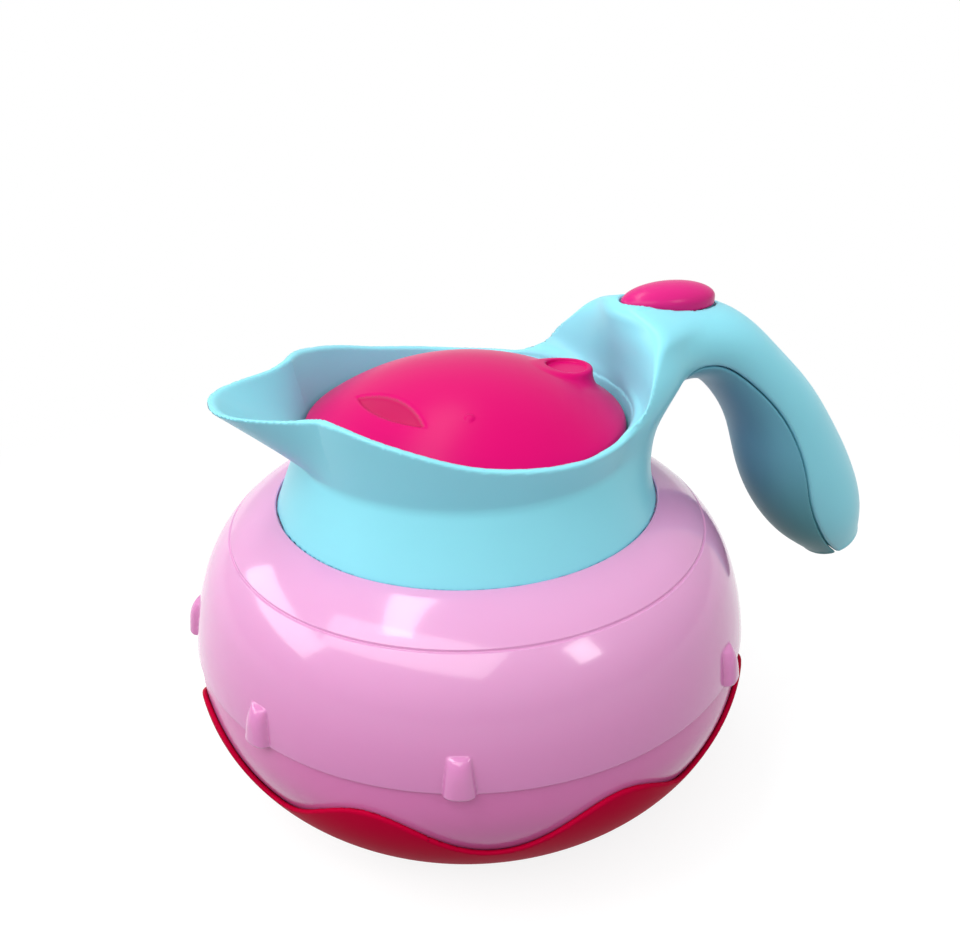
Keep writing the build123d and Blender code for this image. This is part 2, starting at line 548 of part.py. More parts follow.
def vent_cutter():
    """Leaf on the spout side, sunk into the dome."""
    z0, z1 = LID_EDGE_Z, BOSS_TOP_Z + 20
    leaf = cyl(VENT_R, z0, z1) & cyl(VENT_INNER_R, z0, z1, *at(VENT_AT, VENT_DEG))
    return leaf - dome(VENT_DEPTH)


def lid():
    core = dome(LID_T / 2)
    cover = dome_shell() - vent_cutter()
    cover += cyl(GATE_R, LID_EDGE_Z, BOSS_TOP_Z + 20, *at(GATE_AT, GATE_DEG)) & (dome(-GATE_PROUD) - core)
    # thumb boss
    cover += cyl(BOSS_R + 2.4, BOSS_TOP_Z - 3.4, BOSS_TOP_Z + 0.5, BOSS_X, 0) & core
    cover -= cyl(BOSS_R + 1.2, BOSS_TOP_Z, 300, BOSS_X, 0)
    cover += cyl(BOSS_R, LID_EDGE_Z + 2.2, BOSS_TOP_Z, BOSS_X, 0)
    cover -= cyl(BOSS_DISH_R, BOSS_TOP_Z - BOSS_DISH, 300, BOSS_X, 0)
    y1 = EAR_Y - KNUCKLE_GAP
    for s in (-1, 1):
        a, b = sorted((s * (y1 - KNUCKLE_T), s * y1))
        plate = block(HINGE_X - EAR_R, HINGE_X + EAR_R, a, b, HINGE_Z, BOSS_TOP_Z - 1.2) & core
        plate += Pos(HINGE_X, (a + b) / 2, HINGE_Z) * Rot(90, 0, 0) * Cylinder(EAR_R, KNUCKLE_T)
        cover += plate
    cover -= Pos(HINGE_X, 0, HINGE_Z) * Rot(90, 0, 0) * Cylinder(PIN_R + PIN_FIT, 2 * EAR_Y)
    return cover


def well_screws():
    one = screw(SCREW_R, WELL_SCREW_L, SCREW_HEAD_R, SCREW_HEAD_H)
    return together(Pos(*at(WELL_BOSS_AT, d), WELL_FLANGE_Z) * one for d in WELL_SCREW_DEGS)


# ---------------------------------------------------------------- chassis
def chassis_plate():
    plate = cyl(CHASSIS_R, CHASSIS_Z, CHASSIS_TOP)
    for deg in POST_DEGS:
        x, y = at(POST_AT, deg)
        plate += cyl(POST_R, BASE_HEAD_Z + 1.2, CHASSIS_Z + 0.5, x, y)
        plate -= cyl(SCREW_R + SCREW_FIT, 0, BASE_HEAD_Z + BASE_SCREW_L + 0.5, x, y)
    for deg in BODY_BOSS_DEGS:
        plate -= cyl(SCREW_R + 0.2, 0, 60, *at(BODY_BOSS_AT, deg))
    flange_top = CUP_FLOOR + SPK_FLANGE_T
    plate += ring(SPK_R - 2.2, SPK_R - 0.4, flange_top, CHASSIS_Z + 0.5, SPK_X, 0)
    for x, y in standoffs():
        plate += cyl(STANDOFF_R, CHASSIS_TOP - 0.5, BOARD_Z, x, y)
        plate -= cyl(SMALL_SCREW_R + SCREW_FIT, BOARD_Z - SMALL_SCREW_L - 0.5, 60, x, y)
    plate += ring(MIST_R + 0.1, MIST_R + 1.6, MIST_Z0 - 6, MIST_Z0 + 4, MIST_X, 0)
    for s in (-1, 1):
        y0, y1 = sorted((s * (BOARD_W / 2 + 1), s * (BOARD_W / 2 + 3)))
        plate += block(MIST_X - 3, MIST_X + 3, y0, y1, CHASSIS_TOP - 0.5, MIST_Z0 - 4)
    plate += block(MIST_X - 3, MIST_X + 3, -BOARD_W / 2 - 3, BOARD_W / 2 + 3, MIST_Z0 - 6, MIST_Z0 - 4)
    return plate


def standoffs():
    l, w = BOARD_L / 2 - BOARD_INSET, BOARD_W / 2 - BOARD_INSET
    return [(BOARD_X + sx * l, sy * w) for sx in (-1, 1) for sy in (-1, 1)]


def base_screws():
    one = screw(SCREW_R, BASE_SCREW_L, SCREW_HEAD_R, SCREW_HEAD_H)
    return together(Pos(*at(POST_AT, d), BASE_HEAD_Z) * one for d in POST_DEGS)


def body_screws():
    one = screw(SCREW_R, BODY_SCREW_L, SCREW_HEAD_R, SCREW_HEAD_H)
    return together(Pos(*at(BODY_BOSS_AT, d), FLANGE_Z) * one for d in BODY_BOSS_DEGS)


# ---------------------------------------------------------------- batteries
def battery_tray():
    w, l = TRAY_W / 2, TRAY_L / 2
    tray = block(BAY_X - w, BAY_X + w, -l, l, CUP_FLOOR, CHASSIS_Z)
    top = CELL_Z0 + 2 * CELL_R + BAY_TOP_GAP
    tray -= block(BAY_X - BAY_W / 2, BAY_X + BAY_W / 2, -BAY_L / 2, BAY_L / 2, 0, top)
    tray -= block(BAY_X - w + 1.6, BAY_X + w - 1.6, -l + 1.6, l - 1.6, top + 1.6, 60)
    ear = DOOR_TAB_W / 2 - 1.5
    tray += block(BAY_X - ear, BAY_X + ear, l - 0.5, DOOR_SCREW_Y + ear, CUP_FLOOR + 0.1, CUP_FLOOR + 9)
    tray -= cyl(SCREW_R + SCREW_FIT, 0, 11, BAY_X, DOOR_SCREW_Y)
    return tray


def cells():
    return [(BAY_X - CELL_PITCH / 2, 1), (BAY_X + CELL_PITCH / 2, -1)]


def batteries():
    out = []
    for x, s in cells():
        y0 = -s * SPRING_SPACE / 2
        body = Cylinder(CELL_R, CELL_L - 1.5) + Pos(0, 0, CELL_L / 2 - 0.25) * Cylinder(2.7, 2.0)
        out.append(Pos(x, y0 * -1 - s * 0.75, CELL_Z0 + CELL_R) * Rot(-90 * s, 0, 0) * body)
    return together(out)


def battery_springs():
    out = []
    for x, s in cells():
        y_cell = s * (SPRING_SPACE / 2 - CELL_L / 2)
        y_wall = -s * (BAY_L / 2 - PLATE_T)
        a, b = sorted((y_cell, y_wall))
        tube = Cylinder(3.2, b - a) - Cylinder(2.5, 2 * (b - a))
        out.append(Pos(x, (a + b) / 2, CELL_Z0 + CELL_R) * Rot(90, 0, 0) * tube)
    return together(out)


def battery_plates():
    out = []
    z0, z1 = CELL_Z0 + 1.5, CELL_Z0 + 2 * CELL_R - 1.5
    y = BAY_L / 2
    out.append(block(BAY_X - CELL_PITCH / 2 - 5, BAY_X + CELL_PITCH / 2 + 5, -y, -y + PLATE_T, z0, z1))
    for x, s in cells():
        out.append(block(x - 5, x + 5, y - PLATE_T, y, z0, z1))
    return together(out)


def battery_door():
    door = door_shape(0, DOOR_RECESS, DOOR_RECESS + DOOR_T)
    door -= cyl(SCREW_R + 0.2, 0, 9, BAY_X, DOOR_SCREW_Y)
    door -= cyl(SCREW_HEAD_R + 0.2, -1, DOOR_RECESS + 1.0, BAY_X, DOOR_SCREW_Y)
    return door


def battery_door_screw():
    one = screw(SCREW_R, 7.0, SCREW_HEAD_R, 0.9)
    return Pos(BAY_X, DOOR_SCREW_Y, DOOR_RECESS + 1.0) * one


# ---------------------------------------------------------------- electronics
def main_board():
    l, w = BOARD_L / 2, BOARD_W / 2
    board = block(BOARD_X - l, BOARD_X + l, -w, w, BOARD_Z, BOARD_Z + BOARD_T)
    for x, y in standoffs():
        board -= cyl(SMALL_SCREW_R + 0.1, 0, 90, x, y)
    return board


def board_screws():
    one = screw(SMALL_SCREW_R, SMALL_SCREW_L, SMALL_HEAD_R, SMALL_HEAD_H)
    return together(Pos(x, y, BOARD_Z + BOARD_T) * Rot(180, 0, 0) * one for x, y in standoffs())


def board_chips():
    z = BOARD_Z + BOARD_T
    x = BOARD_X + BOARD_L / 2
    return together([block(x - 7, x - 2, -7, 7, z, z + 1.6), cyl(2.0, z, z + 5, BOARD_X - BOARD_L / 2 + 4, 9),
                     cyl(2.0, z, z + 5, BOARD_X - BOARD_L / 2 + 4, -9)])


def leds():
    z = BOARD_Z + BOARD_T
    body = cyl(LED_R, z, z + LED_H - LED_R) + Pos(0, 0, z + LED_H - LED_R) * Sphere(LED_R)
    body &= cyl(LED_R + 1, z, z + 20)
    return together(Pos(BOARD_X + at(LED_RING, d)[0], at(LED_RING, d)[1], 0) * body for d in LED_DEGS)


def light_diffuser():
    z = BOARD_Z + BOARD_T
    ceiling = z + LED_H + LED_CLEAR
    cap = cyl(DIFF_R, z, ceiling + DIFF_WALL, BOARD_X, 0)
    cap += Pos(BOARD_X, 0, ceiling + DIFF_WALL) * Cone(DIFF_R, DIFF_R - 2 * DIFF_CHAMFER, DIFF_CHAMFER,
                                                       align=BASE)
    return cap - cyl(DIFF_R - DIFF_WALL, 0, ceiling, BOARD_X, 0)


def speaker_frame():
    z = CUP_FLOOR
    w = 1.0
    body = turned([(SPK_BASKET_R - 1, 0), (SPK_R, 0), (SPK_R, SPK_FLANGE_T), (SPK_BASKET_R + w, SPK_FLANGE_T),
                   (SPK_MAGNET_R, SPK_BASKET_H + w), (SPK_MAGNET_R - 3, SPK_BASKET_H + w),
                   (SPK_MAGNET_R - 3, SPK_BASKET_H), (SPK_MAGNET_R, SPK_BASKET_H),
                   (SPK_BASKET_R - 1, SPK_FLANGE_T)])
    return Pos(SPK_X, 0, z) * body


def speaker_cone():
    body = turned([(0, 3.1), (4.5, 3.1), (SPK_BASKET_R - 1.6, 0.9), (SPK_BASKET_R - 1, 0.9),
                   (SPK_BASKET_R - 1, 1.4), (SPK_BASKET_R - 1.6, 1.5), (4.7, 3.8), (0, 3.8)])
    return Pos(SPK_X, 0, CUP_FLOOR) * body


def speaker_magnet():
    z = CUP_FLOOR + SPK_BASKET_H + 1.0
    return cyl(SPK_MAGNET_R, z, z + SPK_MAGNET_H, SPK_X, 0) + cyl(3.5, CUP_FLOOR + 4.2, z + 0.5, SPK_X, 0)


def power_switch_body():
    sx = SLIDE_X + SLIDE_TRAVEL / 2
    l, w = SLIDE_BODY_L / 2, SLIDE_BODY_W / 2
    body = block(sx - l, sx + l, SLIDE_Y - w, SLIDE_Y + w, CUP_FLOOR, CUP_FLOOR + SLIDE_BODY_H)
    room = KNOB_L / 2 + SLIDE_TRAVEL / 2 + 1.0 + KNOB_GAP
    wide = KNOB_W / 2 + 1.0 + KNOB_GAP
    body -= block(sx - room, sx + room, SLIDE_Y - wide, SLIDE_Y + wide, CUP_FLOOR - 1, CUP_FLOOR + 2.4)
    return body


def power_switch_knob():
    x0, x1 = SLIDE_X - KNOB_L / 2, SLIDE_X + KNOB_L / 2
    y0, y1 = SLIDE_Y - KNOB_W / 2, SLIDE_Y + KNOB_W / 2
    z = CUP_FLOOR + KNOB_GAP
    return block(x0, x1, y0, y1, KNOB_RECESS, z + 1.6) + block(x0 - 0.9, x1 + 0.9, y0 - 0.9, y1 + 0.9, z, z + 1.6)


# ---------------------------------------------------------------- mist unit
def mist_tank():
    top = WELL_FLOOR_Z
    tank = cyl(MIST_R, MIST_Z0, top, MIST_X, 0) - cyl(MIST_R - MIST_WALL, MIST_Z0 + MIST_WALL, top - 1.5,
                                                     MIST_X, 0)
    return tank - cyl(WICK_R + 0.2, MIST_Z0 + 5, 90, MIST_X, 0)


def mist_wick():
    return cyl(WICK_R, MIST_Z0 + MIST_WALL, WELL_FLOOR_Z, MIST_X, 0)


def mist_disc():
    return cyl(MIST_DISC_R, WELL_FLOOR_Z, WELL_FLOOR_Z + MIST_DISC_T, MIST_X, 0)


PARTS = {
    "base_cup": base_cup, "lower_bowl": lower_bowl, "upper_bowl": upper_bowl, "carafe_top": carafe_top,
    "handle_inner_cover": handle_inner_cover, "handle_button": handle_button, "button_spring": button_spring,
    "tact_switch": tact_switch, "button_board": button_board, "button_board_screws": button_board_screws,
    "pot_well": pot_well, "well_screws": well_screws, "lid": lid, "lid_hinge_pin": lid_hinge_pin,
    "chassis_plate": chassis_plate, "base_screws": base_screws, "body_screws": body_screws,
    "battery_tray": battery_tray, "batteries": batteries, "battery_springs": battery_springs,
    "battery_plates": battery_plates, "battery_door": battery_door, "battery_door_screw": battery_door_screw,
    "main_board": main_board, "board_screws": board_screws, "board_chips": board_chips, "leds": leds,
    "light_diffuser": light_diffuser, "speaker_frame": speaker_frame, "speaker_cone": speaker_cone,
    "speaker_magnet": speaker_magnet, "power_switch_body": power_switch_body,
    "power_switch_knob": power_switch_knob, "mist_tank": mist_tank, "mist_wick": mist_wick,
    "mist_disc": mist_disc,
}

os.makedirs("parts", exist_ok=True)
for name, make in PARTS.items():
    shape = make()
    solids = shape.solids()
    print(name, len(solids), round(sum(s.volume for s in solids), 2))
    export_step(shape if len(solids) > 1 else solids[0], f"parts/{name}.step")
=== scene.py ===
import math

import bpy
import numpy as np
from mathutils import Matrix, Vector


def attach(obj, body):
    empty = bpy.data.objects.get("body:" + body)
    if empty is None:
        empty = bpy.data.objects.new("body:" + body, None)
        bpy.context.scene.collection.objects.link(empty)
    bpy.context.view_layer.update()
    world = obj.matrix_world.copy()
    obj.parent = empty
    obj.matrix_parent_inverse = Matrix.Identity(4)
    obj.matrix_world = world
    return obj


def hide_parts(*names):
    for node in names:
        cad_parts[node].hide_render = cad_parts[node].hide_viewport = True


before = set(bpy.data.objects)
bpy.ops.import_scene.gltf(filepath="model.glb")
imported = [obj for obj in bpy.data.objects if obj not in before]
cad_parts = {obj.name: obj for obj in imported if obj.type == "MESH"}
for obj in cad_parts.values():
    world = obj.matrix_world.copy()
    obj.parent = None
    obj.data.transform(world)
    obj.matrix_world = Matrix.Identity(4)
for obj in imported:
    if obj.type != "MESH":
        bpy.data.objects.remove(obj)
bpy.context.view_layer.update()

# The shapes are worked out in millimetres in the CAD's frame: foot on z = 0, spout to -x, handle to +x.
# Meshes are scaled to metres as they are made. Names ending in _Z count from the foot, and heights that
# a comment gives as "over the equator" count from the belly's widest circle.
MM = 0.001
EQ = 40.0                       # height of the belly's widest circle, the equator

# ------------------------------------------------------------------ camera
IMG_W = 960                     # picture width that the focal length is given for, pixels
FOCAL_PX = 941.8
SENSOR_MM = 36.0
CLIP_NEAR, CLIP_FAR = 0.01, 20.0
CAM_AT = (-70.9, -211.7, 157.4 + EQ)
CAM_TO = (3.4, -1.2, 44.9 + EQ)
CAM_ROLL = 1.096                # degrees, the picture's right side up


def make_camera():
    data = bpy.data.cameras.new("camera")
    cam = bpy.data.objects.new("camera", data)
    bpy.context.scene.collection.objects.link(cam)
    at, to = Vector(CAM_AT), Vector(CAM_TO)
    ahead = (to - at).normalized()
    right = ahead.cross(Vector((0, 0, 1))).normalized()
    up = right.cross(ahead)
    roll = math.radians(CAM_ROLL)
    c, s = math.cos(roll), math.sin(roll)
    x, y = right * c - up * s, right * s + up * c
    m = Matrix((x, y, -ahead)).transposed().to_4x4()
    m.translation = at * MM
    cam.matrix_world = m
    data.sensor_fit = "HORIZONTAL"
    data.sensor_width = SENSOR_MM
    data.lens = SENSOR_MM * FOCAL_PX / IMG_W
    data.clip_start, data.clip_end = CLIP_NEAR, CLIP_FAR
    bpy.context.scene.camera = cam


make_camera()


# ------------------------------------------------------------------ materials
FLOW_SCALE, FLOW_DETAIL = 22.0, 3.0     # broad noise: flow marks in colour and gloss
GRAIN_SCALE, GRAIN_DETAIL = 2200.0, 2.0
GLOSS_LOW, GLOSS_HIGH = 0.85, 1.2       # roughness across a surface, as shares of the value given
GRAIN_HEIGHT, WAVE_HEIGHT = 0.0002, 0.001
PLASTIC_IOR, COAT_ROUGH = 1.49, 0.05
SSS_RADIUS = (0.01, 0.004, 0.006)


def rgb(r, g, b):
    """A display colour of 0 to 255 as linear light."""
    def lin(v):
        v /= 255.0
        return v / 12.92 if v <= 0.04045 else ((v + 0.055) / 1.055) ** 2.4
    return (lin(r), lin(g), lin(b), 1.0)


def plastic(name, color, rough=0.22, dark=0.9, bump=0.02, grain=GRAIN_SCALE, coat=0.0, sss=0.0,
            trans=0.0, wave=0.0, metal=0.0, spec=0.5, height_shade=None):
    """Moulded plastic: slight flow variation in colour and gloss, and a fine grain.

    wave adds a soft moulded waviness; the last argument, (shaded colour, z0, z1), paints shade that darkens
    the colour from z1 down to z0.
    """
    mat = bpy.data.materials.new(name)
    mat.use_nodes = True
    n, l = mat.node_tree.nodes, mat.node_tree.links
    shader = n["Principled BSDF"]
    coords = n.new("ShaderNodeTexCoord")
    flow = n.new("ShaderNodeTexNoise")
    flow.inputs["Scale"].default_value = FLOW_SCALE
    flow.inputs["Detail"].default_value = FLOW_DETAIL
    l.new(coords.outputs["Object"], flow.inputs["Vector"])

    mix = n.new("ShaderNodeMix")
    mix.data_type = "RGBA"
    mix.inputs["A"].default_value = tuple(c * dark for c in color[:3]) + (1,)
    mix.inputs["B"].default_value = color
    l.new(flow.outputs["Fac"], mix.inputs["Factor"])
    # painted shade: below z1 the colour darkens towards the shaded colour, fully at z0
    if height_shade:
        low, z0, z1 = height_shade
        xyz, span = n.new("ShaderNodeSeparateXYZ"), n.new("ShaderNodeMapRange")
        span.interpolation_type = "SMOOTHSTEP"
        span.inputs["From Min"].default_value = z0
        span.inputs["From Max"].default_value = z1
        l.new(coords.outputs["Object"], xyz.inputs["Vector"])
        l.new(xyz.outputs["Z"], span.inputs["Value"])
        shade_mix = n.new("ShaderNodeMix")
        shade_mix.data_type = "RGBA"
        shade_mix.inputs["A"].default_value = low
        l.new(mix.outputs["Result"], shade_mix.inputs["B"])
        l.new(span.outputs["Result"], shade_mix.inputs["Factor"])
        l.new(shade_mix.outputs["Result"], shader.inputs["Base Color"])
    else:
        l.new(mix.outputs["Result"], shader.inputs["Base Color"])

    gloss = n.new("ShaderNodeMapRange")
    gloss.inputs["To Min"].default_value = rough * GLOSS_LOW
    gloss.inputs["To Max"].default_value = rough * GLOSS_HIGH
    l.new(flow.outputs["Fac"], gloss.inputs["Value"])
    l.new(gloss.outputs["Result"], shader.inputs["Roughness"])

    fine = n.new("ShaderNodeTexNoise")
    fine.inputs["Scale"].default_value = grain
    fine.inputs["Detail"].default_value = GRAIN_DETAIL
    l.new(coords.outputs["Object"], fine.inputs["Vector"])
    relief = n.new("ShaderNodeBump")
    relief.inputs["Strength"].default_value = bump
    relief.inputs["Distance"].default_value = GRAIN_HEIGHT
    l.new(fine.outputs["Fac"], relief.inputs["Height"])
    if wave:
        waves = n.new("ShaderNodeBump")
        waves.inputs["Strength"].default_value = wave
        waves.inputs["Distance"].default_value = WAVE_HEIGHT
        l.new(flow.outputs["Fac"], waves.inputs["Height"])
        l.new(relief.outputs["Normal"], waves.inputs["Normal"])
        relief = waves
    l.new(relief.outputs["Normal"], shader.inputs["Normal"])

    for socket, value in (("IOR", PLASTIC_IOR), ("Metallic", metal), ("Specular IOR Level", spec),
                          ("Coat Weight", coat), ("Coat Roughness", COAT_ROUGH),
                          ("Subsurface Weight", sss), ("Subsurface Radius", SSS_RADIUS),
                          ("Subsurface Scale", 1.0), ("Transmission Weight", trans)):
        shader.inputs[socket].default_value = value
    return mat


# Pink belly with painted shade: darker toward the foot below 82 mm, darkest at 42 mm, copying the light
# from above
PINK = plastic("pink_translucent", rgb(222, 158, 203), rough=0.14, dark=0.94, coat=0.4, sss=0.15,
               wave=0.05, height_shade=(rgb(204, 117, 176), 0.042, 0.082))
# The lower bowl's pink carries the belly's painted shade on down: darker toward the foot, darkest at 18 mm
PINK_LOW = plastic("pink_lower", rgb(214, 116, 176), rough=0.2, dark=0.93, spec=0.3, sss=0.15,
                   wave=0.05, height_shade=(rgb(190, 84, 148), 0.018, 0.046))
CRIMSON = plastic("crimson_plastic", rgb(184, 0, 50), rough=0.5, spec=0.02)
# Painted shade: a darker copy of the sky blue for the handle's shaded cover, darker still toward its foot
BLUE_SHADED = plastic("sky_blue_shaded", rgb(106, 176, 196), rough=0.4, spec=0.25, sss=0.08,
                     wave=0.05, height_shade=(rgb(72, 136, 144), 0.045, 0.085))
BLUE = plastic("sky_blue_plastic", rgb(140, 222, 238), rough=0.32, spec=0.35, sss=0.08, wave=0.05)
MAGENTA = plastic("magenta_plastic", rgb(207, 0, 104), rough=0.3, spec=0.1)
BUTTON = plastic("magenta_button", rgb(212, 30, 124), rough=0.24, spec=0.2)
# Painted shade for the lid's sunk leaf: a darker magenta in place of the recess's shadow
MAGENTA_SHADE = plastic("magenta_recess_shade", rgb(186, 0, 84), rough=0.35, spec=0.2)
WHITE = plastic("white_abs", rgb(232, 232, 234), rough=0.45)
DARK = plastic("dark_abs", rgb(30, 30, 33), rough=0.5)
STEEL = plastic("screw_steel", rgb(180, 180, 184), rough=0.32, metal=1.0, bump=0.05)
GREEN = plastic("board_green", rgb(20, 110, 55), rough=0.4)
CHIP = plastic("chip_black", rgb(22, 22, 24), rough=0.55)
CLEAR = plastic("led_clear", rgb(245, 245, 240), rough=0.1, trans=0.7)
MILK = plastic("milk_diffuser", rgb(245, 245, 245), rough=0.5, sss=0.3)
CELL = plastic("cell_wrap", rgb(70, 95, 120), rough=0.35, metal=0.3)
PAPER = plastic("speaker_paper", rgb(40, 38, 36), rough=0.8, bump=0.3, grain=1400)
IRON = plastic("magnet_iron", rgb(110, 110, 112), rough=0.45, metal=0.8)
WICK = plastic("wick_cotton", rgb(240, 236, 226), rough=0.9, bump=0.5, grain=1600)
BRASS = plastic("piezo_brass", rgb(200, 165, 90), rough=0.3, metal=1.0)

NODE_MATERIAL = {
    "base_cup": CRIMSON, "lower_bowl": PINK, "upper_bowl": PINK, "carafe_top": BLUE,
    "handle_inner_cover": BLUE, "handle_button": BUTTON, "button_spring": STEEL, "tact_switch": CHIP,
    "button_board": GREEN, "button_board_screws": STEEL, "pot_well": MAGENTA, "well_screws": STEEL,
    "lid": MAGENTA, "lid_hinge_pin": STEEL, "chassis_plate": WHITE, "base_screws": STEEL,
    "body_screws": STEEL, "battery_tray": WHITE, "batteries": CELL, "battery_springs": STEEL,
    "battery_plates": STEEL, "battery_door": CRIMSON, "battery_door_screw": STEEL, "main_board": GREEN,
    "board_screws": STEEL, "board_chips": CHIP, "leds": CLEAR, "light_diffuser": MILK,
    "speaker_frame": DARK, "speaker_cone": PAPER, "speaker_magnet": IRON, "power_switch_body": DARK,
    "power_switch_knob": WHITE, "mist_tank": WHITE, "mist_wick": WICK, "mist_disc": BRASS,
}
for node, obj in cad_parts.items():
    if not obj.material_slots:
        obj.data.materials.append(NODE_MATERIAL[node])
    for slot in obj.material_slots:
        slot.material = NODE_MATERIAL[node]


# ------------------------------------------------------------------ meshes
def make_piece(name, verts, quads, normals, mat, body, nodes, shade_patch=None):
    """A smooth-shaded piece. The optional last argument, (material, test of the faces' middles), paints
    shade on some faces in that material.
    """
    mesh = bpy.data.meshes.new(name)
    mesh.from_pydata((verts * MM).tolist(), [], quads.tolist())
    mesh.update()
    mesh.polygons.foreach_set("use_smooth", [True] * len(mesh.polygons))
    mesh.normals_split_custom_set_from_vertices(normals.tolist())
    mesh.materials.append(mat)
    if shade_patch:
        shade_patch_mat, inside = shade_patch
        mesh.materials.append(shade_patch_mat)
        mesh.polygons.foreach_set("material_index", inside(verts[quads].mean(1)).astype(int).tolist())
    ob = bpy.data.objects.new(name, mesh)
    bpy.context.scene.collection.objects.link(ob)
    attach(ob, body)
    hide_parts(*nodes)


# ------------------------------------------------------------------ smooth solids from distance fields
BLOCK = 4                       # grid cells along a side of the blocks that are sampled together
BLOCK_REACH = 1.5 * 2.6         # how near the surface a block's middle may be, in steps
BLOCK_SLACK = 0.5               # and in mm, because the fields aren't exact distances
CHUNK, CHUNK_POINTS = 4000, 20000       # blocks, or points, worked out at a time, to save memory
SLOPE_STEP = 0.06
SETTLE_REACH, SETTLE_ROUNDS = 0.6, 4    # most that a round moves a point, in steps of the grid
OUTSIDE = 30.0                  # value of a field that isn't worked out because it is far away


def smax(a, b, k):
    """The larger of two fields, with a blend of about k mm."""
    h = np.clip(0.5 + 0.5 * (a - b) / k, 0, 1)
    return b + (a - b) * h + k * h * (1 - h)


def smin(a, b, k):
    return -smax(-a, -b, k)


def eased_step(t):
    t = np.clip(t, 0, 1)
    return t * t * (3 - 2 * t)


def nets(f, lo, hi, step):
    """Surface nets of f = 0 over a box."""
    lo = np.array(lo, float)
    n = np.maximum(np.ceil((np.array(hi) - lo) / step).astype(int) + 1, 3)
    # a block far from the surface takes its middle's sign, and the others are sampled in full
    m = (n + BLOCK - 1) // BLOCK
    i, j, k = np.meshgrid(*[np.arange(c) for c in m], indexing="ij")
    cube = np.stack([i.ravel(), j.ravel(), k.ravel()], 1)
    middle = f(lo + step * (cube * BLOCK + (BLOCK - 1) / 2))
    near = np.abs(middle) < BLOCK_REACH * step + BLOCK_SLACK
    val = np.where(middle < 0, -9.0, 9.0).astype(np.float32).reshape(m)
    val = val.repeat(BLOCK, 0).repeat(BLOCK, 1).repeat(BLOCK, 2)
    i, j, k = np.meshgrid(*[np.arange(BLOCK)] * 3, indexing="ij")
    part = np.stack([i.ravel(), j.ravel(), k.ravel()], 1)
    for first in range(0, int(near.sum()), CHUNK):
        q = (cube[near][first:first + CHUNK, None, :] * BLOCK + part[None]).reshape(-1, 3)
        val[q[:, 0], q[:, 1], q[:, 2]] = f(lo + step * q)
    val = val[:n[0], :n[1], :n[2]]

    # one vertex in each cell that the surface crosses, at the mean of its edges' crossings
    inside = val < 0
    corners = [(i, j, k) for i in (0, 1) for j in (0, 1) for k in (0, 1)]
    sl = [slice(0, -1), slice(1, None)]
    count = sum(inside[sl[i], sl[j], sl[k]].astype(np.int8) for i, j, k in corners)
    mixed = (count > 0) & (count < 8)
    index = -np.ones(mixed.shape, np.int64)
    cells = np.argwhere(mixed)
    index[mixed] = np.arange(len(cells))
    cv = {c: val[cells[:, 0] + c[0], cells[:, 1] + c[1], cells[:, 2] + c[2]] for c in corners}
    pos, num = np.zeros((len(cells), 3)), np.zeros(len(cells))
    for a in corners:
        for d in range(3):
            if a[d]:
                continue
            b = tuple(a[i] + (i == d) for i in range(3))
            va, vb = cv[a], cv[b]
            cross = (va < 0) != (vb < 0)
            t = np.where(cross, va / np.where(cross, va - vb, 1), 0)
            p = np.array(a, float)[None, :] + t[:, None] * np.eye(3)[d][None, :]
            pos += np.where(cross[:, None], p, 0)
            num += cross
    verts = lo + step * (cells + pos / num[:, None])

    # one face round each grid edge that the surface crosses
    quads = []
    for d in range(3):
        u, w = (d + 1) % 3, (d + 2) % 3
        a, b = [slice(None)] * 3, [slice(None)] * 3
        a[d], b[d] = sl
        e = np.argwhere(inside[tuple(a)] != inside[tuple(b)])
        e = e[(e[:, u] > 0) & (e[:, w] > 0) & (e[:, u] < n[u] - 1) & (e[:, w] < n[w] - 1)]
        outward = inside[e[:, 0], e[:, 1], e[:, 2]]
        q = []
        for du, dw in ((-1, -1), (0, -1), (0, 0), (-1, 0)):
            c = e.copy()
            c[:, u] += du
            c[:, w] += dw
            q.append(index[c[:, 0], c[:, 1], c[:, 2]])
        q = np.stack(q, 1)
        q[~outward] = q[~outward][:, ::-1]
        quads.append(q)
    quads = np.concatenate(quads)
    return verts, quads[(quads >= 0).all(1)]


def slope(f, p):
    g = np.empty_like(p)
    for d in range(3):
        s = np.zeros(3)
        s[d] = SLOPE_STEP
        g[:, d] = (f(p + s) - f(p - s)) / (2 * SLOPE_STEP)
    return g


def settle(f, p, most):
    """Moves points onto f = 0 along its gradient."""
    for _ in range(SETTLE_ROUNDS):
        g = slope(f, p)
        move = -f(p)[:, None] * g / np.maximum((g * g).sum(1), 0.05)[:, None]
        length = np.linalg.norm(move, axis=1)
        move *= np.minimum(1, most / np.maximum(length, 1e-9))[:, None]
        p = p + move
    return p


def solid(name, f, lo, hi, step, mat, nodes, body="pot", shade_patch=None):
    """A piece whose surface is f = 0 within the box from lo to hi."""
    verts, quads = nets(f, lo, hi, step)
    verts = settle(f, verts, SETTLE_REACH * step)
    g = slope(f, verts)
    normals = g / np.maximum(np.linalg.norm(g, axis=1), 1e-9)[:, None]
    make_piece(name, verts, quads, normals, mat, body, nodes, shade_patch)


